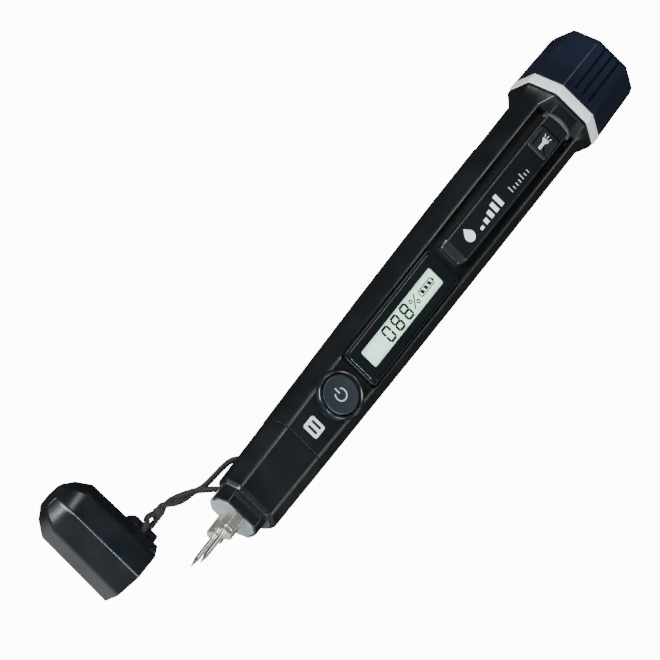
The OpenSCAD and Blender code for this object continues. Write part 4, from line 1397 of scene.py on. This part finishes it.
# %% Floor
FLOOR_Z = -26.0 * MM  # low enough that the lifted battery door stays above it
FLOOR_GLOW = 11.0
floor_finish, tree, place = new_finish("pale_table")
speckle = add(tree, "ShaderNodeTexNoise", {"Scale": 1 / (30 * MM), "Detail": 2.0}, Vector=place)
shade = ramp(tree, speckle.outputs["Fac"], [(0.3, "#fafafa"), (0.7, "#ffffff")])
table_surface = add(tree, "ShaderNodeBsdfPrincipled",
                    {"Roughness": 0.9, "Emission Strength": FLOOR_GLOW},
                    Base_Color=shade, Emission_Color=shade)
finish_surface(tree, table_surface)
bm = bmesh.new()
bmesh.ops.create_grid(bm, x_segments=1, y_segments=1, size=3.0)
mesh = bpy.data.meshes.new("pale_floor")
bm.to_mesh(mesh)
bm.free()
floor = bpy.data.objects.new("pale_floor", mesh)
floor.data.materials.append(floor_finish)
floor.location.z = FLOOR_Z
bpy.context.collection.objects.link(floor)
floor.visible_glossy = False
floor.visible_diffuse = False
print("floor at", round(FLOOR_Z / MM, 1), "mm")

# %% [markdown]
# Black satin plastic shows whatever it mirrors. Two narrow lights stand where only the rounded
# edges mirror them, which draws thin bright lines and leaves the faces dark. A small bluish one
# lights the ledge above the key, and two broad ones fill the nose, the needles and the ring.

# %% Lights
LIGHTS_AIM = Vector((-5, 65, 0)) * MM

def soft_light(name, direction, distance, size, power, colour="#ffffff"):
    data = bpy.data.lights.new(name, "AREA")
    data.shape = "RECTANGLE"
    data.size, data.size_y = size
    data.energy = power
    data.color = linear(colour)[:3]
    made = bpy.data.objects.new(name, data)
    bpy.context.collection.objects.link(made)
    way = Vector(direction).normalized()
    made.location = LIGHTS_AIM + way * distance
    made.rotation_mode = "QUATERNION"
    made.rotation_quaternion = way.to_track_quat("Z", "Y")
    return made


soft_light("edge_upper_left", (-0.45, 0.44, 0.78), 1.1, (0.22, 0.5), 2.6)
soft_light("rim_right", (0.95, 0.3, 0.5), 1.1, (0.2, 0.7), 2.5)
soft_light("ledge_glint", (0.21, -0.34, 0.92), 1.2, (0.2, 0.2), 6, "#d4ecff")
soft_light("front_fill", (-0.8, -0.55, 0.5), 1.3, (0.8, 0.7), 36)
soft_light("ring_fill", (0.9, -0.5, 0.75), 1.3, (0.6, 0.5), 14)

# %% [markdown]
# The sky is nearly black, so that flat faces mirror a dim room. Only one patch of it glows, low
# in front, and gives the cap's near side its soft gradient.

# %% Sky
SKY_DIM, SKY_GLOW = 0.03, 1.5
GLOW_FROM = (0.25, -0.86, -0.44)
sky = bpy.data.worlds.new("studio_sky")
bpy.context.scene.world = sky
sky.use_nodes = True
sky.node_tree.nodes.clear()
way_out = add(sky.node_tree, "ShaderNodeTexCoord").outputs["Generated"]
facing = add(sky.node_tree, "ShaderNodeVectorMath", {"operation": "DOT_PRODUCT", 1: GLOW_FROM},
             _0=way_out)
glow = add(sky.node_tree, "ShaderNodeMapRange",
           {"interpolation_type": "SMOOTHSTEP", "From Min": 0.5, "From Max": 0.95,
            "To Min": SKY_DIM, "To Max": SKY_GLOW},
           Value=facing.outputs["Value"])
backdrop = add(sky.node_tree, "ShaderNodeBackground", {"Color": linear("#ffffff")},
               Strength=glow.outputs["Result"])
sky_out = add(sky.node_tree, "ShaderNodeOutputWorld")
sky.node_tree.links.new(backdrop.outputs[0], sky_out.inputs["Surface"])
print("sky strength from", SKY_DIM, "to", SKY_GLOW)
